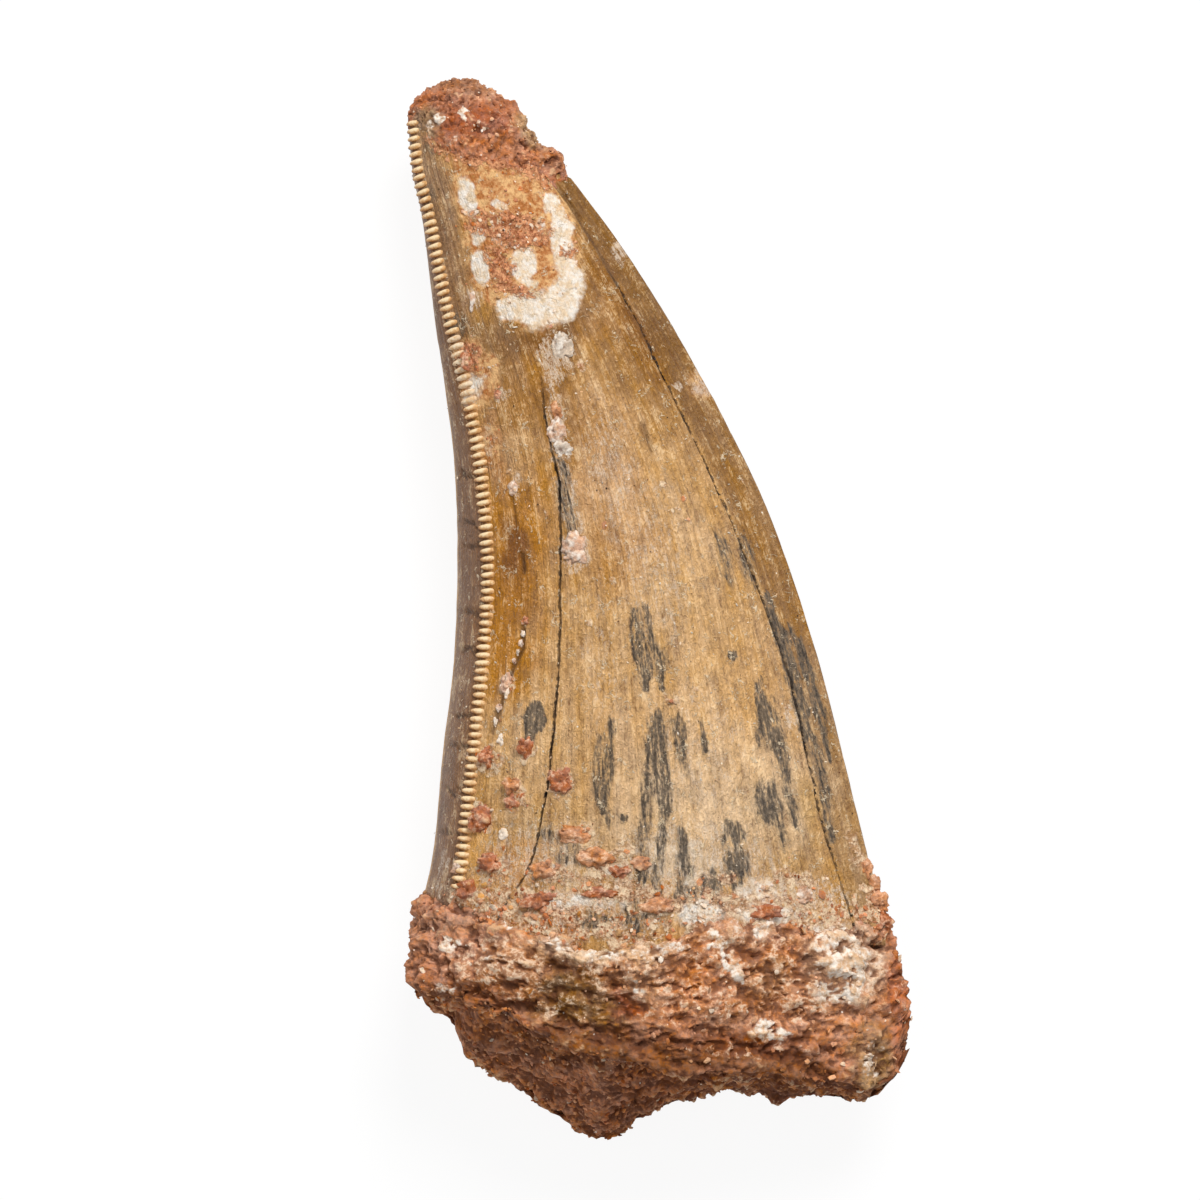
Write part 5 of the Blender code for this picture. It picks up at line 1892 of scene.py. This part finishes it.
    def relief(self, points: Array) -> tuple[Array, Array]:
        """Return how far each place stands out in millimetres, and its fine height from 0 to 1.

        Args:
            points: places in millimetres.
        """
        above = smooth_step(points[..., 1] - FORM.tip_break(points[..., 0]), -0.9, 0.6)
        push = 0.16 * rough(points, 1.5, 2) * above + knobbed(points, self.bumps)
        bent = points + 0.25 * np.stack([rough(points, 0.6, 2, k) for k in (31.0, 47.0, 59.0)], axis=-1)
        grains = cells(bent, 0.5, 1.0)
        folds = creases(bent, 1.2, 4, 5.0)
        fine = rough(points, 0.26, 3, 4.0)
        pits = smooth_step(rough(bent, 0.7, 2, 8.0), 0.28, 0.55)
        small = 0.24 * (grains - 0.4) + 0.28 * (folds - 0.45) + 0.1 * fine - 0.2 * pits
        push += small * blend(0.4, 1.0, above)
        height = 0.6 + 0.5 * (grains - 0.4) + 0.7 * (folds - 0.45) + 0.35 * fine - 0.5 * pits
        return push, np.clip(height, 0.0, 1.2)


class Tone(Enum):
    """Colours of the crumbs on the enamel."""

    RUST = "#b9704a"
    ORANGE = "#cd8b5c"
    PINK = "#d0a184"
    GREY = "#bfae9c"
    PALE = "#ead8c3"


@dataclass(frozen=True)
class Crumb:
    """One crumb of sandstone on the enamel, placed by photo pixel."""

    at: Pair
    half: Pair
    height: float
    tone: Tone


@dataclass
class Crumbs:
    """The named nodules stuck on the crown, each a lumpy cluster of sand grains."""

    spread: float = 1.2
    sunk: float = 0.08
    named: tuple[Crumb, ...] = (
        Crumb((471, 358), (8, 11), 0.1, Tone.RUST), Crumb((560, 352), (10, 16), 0.22, Tone.GREY),
        Crumb((556, 413), (5, 8), 0.25, Tone.ORANGE), Crumb((557, 431), (8, 12), 0.3, Tone.PINK),
        Crumb((562, 449), (9, 9), 0.25, Tone.GREY), Crumb((575, 551), (11, 15), 0.35, Tone.PINK),
        Crumb((526, 621), (4, 4), 0.3, Tone.RUST), Crumb((507, 684), (6, 8), 0.25, Tone.PINK),
        Crumb((490, 757), (10, 9), 0.4, Tone.RUST), Crumb((527, 747), (8, 9), 0.4, Tone.RUST),
        Crumb((514, 785), (9, 8), 0.45, Tone.ORANGE), Crumb((513, 803), (8, 7), 0.38, Tone.RUST),
        Crumb((483, 817), (12, 12), 0.5, Tone.RUST), Crumb((561, 781), (11, 12), 0.45, Tone.RUST),
        Crumb((574, 834), (15, 7), 0.4, Tone.ORANGE), Crumb((493, 862), (14, 8), 0.45, Tone.RUST),
        Crumb((548, 869), (14, 8), 0.4, Tone.ORANGE), Crumb((597, 858), (14, 8), 0.4, Tone.ORANGE),
        Crumb((545, 900), (18, 8), 0.4, Tone.RUST), Crumb((502, 740), (4, 6), 0.22, Tone.PALE),
        Crumb((618, 872), (9, 6), 0.35, Tone.RUST), Crumb((515, 486), (5, 7), 0.18, Tone.PINK),
        Crumb((500, 394), (5, 4), 0.16, Tone.RUST), Crumb((603, 527), (4, 4), 0.14, Tone.ORANGE),
        Crumb((866, 868), (6, 9), 0.3, Tone.ORANGE), Crumb((874, 885), (6, 9), 0.3, Tone.ORANGE),
        Crumb((878, 903), (8, 10), 0.45, Tone.ORANGE), Crumb((883, 920), (7, 10), 0.5, Tone.RUST),
        Crumb((505, 835), (6, 5), 0.2, Tone.PALE), Crumb((640, 862), (10, 6), 0.3, Tone.ORANGE),
        Crumb((655, 905), (16, 7), 0.4, Tone.ORANGE), Crumb((470, 890), (12, 8), 0.4, Tone.RUST),
        Crumb((523, 634), (2, 3), 0.12, Tone.PALE), Crumb((521, 643), (2, 3), 0.12, Tone.PINK),
        Crumb((518, 652), (2, 3), 0.12, Tone.PALE), Crumb((514, 661), (2, 3), 0.12, Tone.PINK),
        Crumb((508, 694), (3, 5), 0.15, Tone.PALE), Crumb((500, 708), (3, 4), 0.15, Tone.PINK),
        Crumb((496, 722), (2, 4), 0.12, Tone.PALE), Crumb((474, 302), (4, 9), 0.15, Tone.PINK),
        Crumb((760, 912), (18, 7), 0.4, Tone.RUST), Crumb((600, 893), (14, 5), 0.3, Tone.RUST),
        Crumb((460, 868), (7, 6), 0.25, Tone.PINK), Crumb((800, 895), (9, 7), 0.2, Tone.PINK),
    )

    def build(self, finish: Material) -> Object:
        """Return all nodules as one piece in their finish."""
        made = [self.nodule(crumb, number) for number, crumb in enumerate(self.named)]
        return joined("sandstone_crumbs", made, finish)

    def nodule(self, crumb: Crumb, number: int) -> Object:
        """Return one nodule, lumpy, sunk to its middle in the face.

        Args:
            crumb: what is known of it.
            number: its number, which sets its lumps.
        """
        height = 12.0
        for _ in range(6):
            x, y = VIEW.place_of(crumb.at, height)
            height = float(FORM.front_height(np.array(x), np.array(y)))
        deselect_all()
        bpy.ops.mesh.primitive_ico_sphere_add(subdivisions=4, radius=1.0)
        ball = bpy.context.object
        unit = places_of(ball)
        half = np.array(crumb.half) * VIEW.mm_per_pixel * self.spread
        shape = unit * np.array([half[0], half[1], crumb.height])
        lumps = rough(unit + number * 3.1, 0.8, 3)
        folds = creases(shape + number * 2.0, 0.9, 3)
        grain = cells(shape + number * 2.0, 0.42)
        fine = rough(shape + number * 2.0, 0.2, 2)
        swell = 1 + 0.45 * lumps + 0.4 * (grain - 0.4) + 0.4 * (folds - 0.45) + 0.12 * fine
        places = shape * swell[:, None] + np.array([x, y, height - self.sunk])
        ball.data.vertices.foreach_set("co", (places * MM).ravel())
        colour = np.empty((len(unit), 4))
        colour[:] = linear(crumb.tone.value)
        store(ball, "wash", colour)
        relief = 0.58 + 0.6 * (grain - 0.35) + 0.3 * lumps + 0.7 * (folds - 0.45)
        store(ball, "relief", np.clip(relief, 0.0, 1.2))
        pale = crumb.tone in (Tone.PALE, Tone.GREY, Tone.PINK)
        store(ball, "cream", np.full(len(unit), 0.45 if pale else 0.1))
        store(ball, "dust", np.full(len(unit), 0.3))
        return ball


@dataclass(frozen=True)
class Handful:
    """One handful of grit: how many bits, how big and flat they are, and what colours they have."""

    count: int
    half: Pair
    thickness: float
    stretch: float
    accents: tuple[tuple[str, float], ...] = ()
    shade: Pair = (0.75, 1.3)
    lift: float = 0.2
    tilt: float = 0.35


@dataclass
class Grit:
    """Loose sand and flakes: a few bits modelled once, and copied all over the ground that they stick to."""

    seed: int = 7
    kinds: int = 6
    brightest: float = 0.9
    reliefs: Pair = (0.55, 0.95)
    jitter: float = 0.09

    def patterns(self) -> tuple[Array, Array]:
        """Model the bits that are copied.

        Returns:
            The places of their vertices, kinds by vertices by 3, and the faces that all of them share.
        """
        shapes, faces = [], None
        for kind in range(self.kinds):
            deselect_all()
            bpy.ops.mesh.primitive_ico_sphere_add(subdivisions=1, radius=1.0)
            bit = bpy.context.object
            unit = places_of(bit)
            swell = 1 + 0.45 * rough(unit + kind * 3.7, 1.1, 2) + 0.12 * rough(unit + kind * 1.3, 0.4, 2)
            shapes.append(unit * swell[:, None])
            corners = np.empty(len(bit.data.polygons) * 3, int)
            bit.data.polygons.foreach_get("vertices", corners)
            faces = corners.reshape(-1, 3)
            bpy.data.objects.remove(bit)
        return np.array(shapes), faces

    def sow(
        self, name: str, handfuls: Sequence[tuple[Handful, Ground, Array]], finish: Material
    ) -> Object:
        """Stick handfuls of grit on their ground, as one piece.

        Args:
            name: name of the piece.
            handfuls: each handful with its ground and how likely each place of the ground is to hold a bit.
            finish: the material.

        Returns:
            The piece.
        """
        random = np.random.default_rng(self.seed + len(name))
        shapes, pattern = self.patterns()
        each = shapes.shape[1]
        places, paints = [], []
        for handful, ground, weight in handfuls:
            chance = (weight * ground.area).ravel()
            spots = random.choice(len(chance), size=handful.count, p=chance / chance.sum())
            places.append(self.placed(handful, ground, spots, shapes, random).reshape(-1, 3))
            paints.append(np.repeat(self.coloured(handful, ground, spots, random), each, axis=0))
        numbers = np.arange(sum(handful.count for handful, _, _ in handfuls))
        faces = (pattern[None] + each * numbers[:, None, None]).reshape(-1, 3)
        mesh = bpy.data.meshes.new(name)
        mesh.from_pydata((np.concatenate(places) * MM).tolist(), [], faces.tolist())
        piece = bpy.data.objects.new(name, mesh)
        bpy.context.scene.collection.objects.link(piece)
        paint = np.concatenate(paints)
        for title, column in (("wash", slice(0, 4)), ("relief", 4), ("cream", 5), ("dust", 5)):
            store(piece, title, paint[:, column])
        mesh.shade_flat()
        layer = mesh.uv_layers.new(name=BAKE_MAP)
        layer.data.foreach_set("uv", self.mapped(pattern, shapes[0], numbers).astype(np.float32).ravel())
        mesh.materials.append(finish)
        return piece

    def placed(
        self, handful: Handful, ground: Ground, spots: Array, shapes: Array, random: np.random.Generator
    ) -> Array:
        """Turn, size and place the bits.

        Args:
            handful: the handful.
            ground: what the bits stick to.
            spots: which place of the ground each bit is at.
            shapes: the modelled bits.
            random: the seeded numbers.

        Returns:
            Places in millimetres, bits by vertices by 3.
        """
        count = len(spots)
        up = ground.normals.reshape(-1, 3)[spots] + handful.tilt * random.normal(0, 1, (count, 3))
        up /= np.linalg.norm(up, axis=1, keepdims=True)
        spin = random.normal(0, 1, (count, 3))
        side = np.cross(up, spin)
        side /= np.linalg.norm(side, axis=1, keepdims=True)
        front = np.cross(up, side)
        half = blend(*handful.half, random.random(count) ** 2.2)
        sizes = (half * handful.stretch, half, half * handful.thickness)
        axes = np.stack([way * size[:, None] for way, size in zip((side, front, up), sizes)], axis=1)
        kind = random.integers(0, len(shapes), count)
        jitter = random.uniform(-self.jitter, self.jitter, (count, 3))
        centre = ground.points.reshape(-1, 3)[spots] + jitter
        centre += ground.normals.reshape(-1, 3)[spots] * (half * handful.thickness * handful.lift)[:, None]
        return centre[:, None, :] + np.einsum("bva,bac->bvc", shapes[kind], axes)

    def coloured(self, handful: Handful, ground: Ground, spots: Array, random: np.random.Generator) -> Array:
        """Colour the bits.

        Args:
            handful: the handful.
            ground: what the bits stick to.
            spots: which place of the ground each bit is at.
            random: the seeded numbers.

        Returns:
            Each bit's colour of four, its fine height and how bleached it is.
        """
        count = len(spots)
        colour = ground.paints["wash"].reshape(-1, 4)[spots].copy()
        pick = random.random(count)
        passed = 0.0
        for accent, share in handful.accents:
            chosen = (pick >= passed) & (pick < passed + share)
            colour[chosen] = linear(accent)
            passed += share
        shade = random.uniform(*handful.shade, count)
        colour[:, :3] = np.clip(colour[:, :3] * shade[:, None], 0, self.brightest)
        relief = random.uniform(*self.reliefs, count)
        bleached = ground.paints["cream"].reshape(-1)[spots]
        return np.concatenate([colour, relief[:, None], bleached[:, None]], axis=1)

    def mapped(self, pattern: Array, shape: Array, numbers: Array) -> Array:
        """Lay each bit in its own cell of the bake map, the upper faces left and the lower faces right.

        Args:
            pattern: the faces of a bit.
            shape: the places of its vertices.
            numbers: the bits' numbers.
        """
        across = math.ceil(math.sqrt(len(numbers)))
        corners = shape[pattern]
        up = np.cross(corners[:, 1] - corners[:, 0], corners[:, 2] - corners[:, 0])[:, 2] > 0
        flat = np.clip(corners[..., :2] / 3.2 + 0.5, 0.08, 0.92)
        flat[..., 0] = flat[..., 0] / 2 + np.where(up, 0.0, 0.5)[:, None]
        cell = np.stack([numbers % across, numbers // across], axis=1)
        return ((cell[:, None, None, :] + flat[None]) / across).reshape(-1, 2)


@dataclass
class Studio:
    """The pale board, the soft light and the camera straight above."""

    board_side: float = 3.0
    key_place: tuple[float, float, float] = (0.14, 0.46, 0.52)
    key_side: float = 0.3
    key_power: float = 4.4
    fill_place: tuple[float, float, float] = (-0.35, -0.05, 0.7)
    fill_side: float = 0.6
    fill_power: float = 0.7
    sky_strength: float = 0.36

    def build(self) -> None:
        """Lay the board, hang the lights and set the camera."""
        self.board()
        self.soft_box("key_light", self.key_place, self.key_side, self.key_power)
        self.soft_box("fill_light", self.fill_place, self.fill_side, self.fill_power)
        world = bpy.data.worlds.new("studio")
        world.use_nodes = True
        world.node_tree.nodes["Background"].inputs["Strength"].default_value = self.sky_strength
        world.node_tree.nodes["Background"].inputs["Color"].default_value = linear("#ffffff")
        bpy.context.scene.world = world
        bpy.context.scene.view_settings.view_transform = "Standard"
        self.camera()

    def board(self) -> None:
        """Lay a wide board just under the tooth."""
        deselect_all()
        bpy.ops.mesh.primitive_plane_add(size=self.board_side, location=(0.0, 0.0, -0.0001))
        board = bpy.context.object
        board.name = "pale_board"
        bpy.ops.object.mode_set(mode="EDIT")
        bpy.ops.mesh.select_all(action="SELECT")
        bpy.ops.mesh.inset(thickness=0.02, depth=0.0)
        bpy.ops.object.mode_set(mode="OBJECT")
        board.data.materials.append(PaleBoard().make())

    def soft_box(self, name: str, place: tuple[float, float, float], side: float, power: float) -> None:
        """Hang a square soft light that faces the tooth.

        Args:
            name: its name.
            place: metres from the middle of the tooth.
            side: metres along each edge.
            power: watts.
        """
        light = bpy.data.lights.new(name, "AREA")
        light.shape = "SQUARE"
        light.size = side
        light.energy = power
        lamp = bpy.data.objects.new(name, light)
        lamp.location = place
        lamp.rotation_euler = (-Vector(place)).to_track_quat("-Z", "Y").to_euler()
        bpy.context.scene.collection.objects.link(lamp)

    def camera(self) -> None:
        """Set the camera straight above, as the photograph was taken."""
        data = bpy.data.cameras.new("photo_camera")
        data.lens = VIEW.lens
        data.sensor_width = VIEW.sensor
        data.sensor_fit = "HORIZONTAL"
        data.clip_end = 10.0
        camera = bpy.data.objects.new("photo_camera", data)
        height = VIEW.distance + VIEW.sharp_height
        camera.location = Vector((*VIEW.middle, height)) * MM
        bpy.context.scene.collection.objects.link(camera)
        bpy.context.scene.camera = camera


def grit_pieces(crown: Ground, root: Ground, tip: Ground, finish: Material) -> list[tuple]:
    """Sow all the loose grit.

    Args:
        crown: the enamel's ground.
        root: the root sandstone's ground.
        tip: the tip sandstone's ground.
        finish: the sandstone's material.

    Returns:
        Each piece with a label.
    """
    grit = Grit()
    rusts = (("#cf8558", 0.3), ("#c0713f", 0.2), ("#95532f", 0.05), ("#e8cfb4", 0.12), ("#dba47c", 0.16))
    pales = (("#ecd8bd", 0.5), ("#dcb48c", 0.3), ("#f3e6d3", 0.2))
    browns = (("#c9824f", 0.3), ("#a05a30", 0.3))
    darks = (("#6b4022", 0.6), ("#3d2918", 0.4))
    shown = crown.facing()
    near_root = smooth_step(crown.py, 800, 930) ** 1.6
    spread = 0.15 + rough(crown.points, 3.0, 3, 8.0).clip(0, 1)
    flecks = shown * spread * (1 + 2 * crown.paints["scuff"] + 1.5 * near_root)
    lumps = shown * (3.0 * crown.paints["rust"] + 0.3 * crown.paints["orange"])
    crumbs = shown * (1.6 * crown.paints["blotch"] ** 2 + 1.6 * near_root**2 * spread)
    on_crown = grit.sow("crown_flecks", (
        (Handful(700, (0.03, 0.07), 0.5, 2.4, pales, (0.7, 1.0), 0.1, 0.5), crown, flecks),
        (Handful(300, (0.03, 0.06), 0.6, 1.3, darks, (0.7, 1.2), 0.0), crown, shown),
    ), finish)
    crown_grit = grit.sow("crown_grit", (
        (Handful(500, (0.05, 0.16), 0.5, 1.5, rusts, (0.8, 1.15), 0.0, 0.5), crown, lumps),
        (Handful(900, (0.05, 0.18), 0.5, 1.4, rusts, (0.8, 1.15), 0.0, 0.5), crown, crumbs),
        (Handful(260, (0.1, 0.28), 0.4, 1.4, rusts, (0.8, 1.15), -0.1, 0.4), crown, crumbs),
    ), finish)
    root_shown = 0.25 + root.facing()
    below = smooth_step(-root.normals[..., 1], 0.3, 0.75) * smooth_step(root.px, 720, 560)
    root_grit = grit.sow("root_grit", (
        (Handful(900, (0.06, 0.22), 0.45, 1.5, rusts[3:], (0.85, 1.25), 0.0, 0.6), root, root_shown),
        (Handful(700, (0.08, 0.2), 0.55, 1.2, browns, (0.8, 1.3), 0.1, 0.35), root, below),
    ), finish)
    tip_grit = grit.sow("tip_grit", (
        (Handful(260, (0.05, 0.14), 0.5, 1.5, rusts[3:], (0.85, 1.2), 0.0, 0.6), tip, 0.3 + tip.facing()),
    ), finish)
    return [(on_crown, "enamel"), (crown_grit, "sandstone"), (root_grit, "sandstone"), (tip_grit, "crust")]


def dress() -> None:
    """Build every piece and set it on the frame."""
    logging.basicConfig(level=logging.INFO, format="%(name)s: %(message)s")
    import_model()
    Studio().build()
    sandstone = RustSandstone().make()
    crown, crown_ground = Crown().build(FossilEnamel().make())
    root, root_ground = RootSandstone().build(sandstone)
    tip, tip_ground = TipCrust().build(sandstone)
    built = [(crown, "enamel", "tooth"), (root, "sandstone", "base_matrix"), (tip, "crust", "tip_crust")]
    built.append((SawEdge().build(DenticleWithPaintedLight().make()), "enamel", ""))
    built.append((Crumbs().build(sandstone), "sandstone", ""))
    grit = grit_pieces(crown_ground, root_ground, tip_ground, sandstone)
    built += [(piece, slot, "") for piece, slot in grit]
    for piece, slot, node in built:
        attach(piece, "root")
        if node:
            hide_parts(node)
        log.info("%s: %d faces", piece.name, len(piece.data.polygons))


if __name__ == "__main__":
    dress()
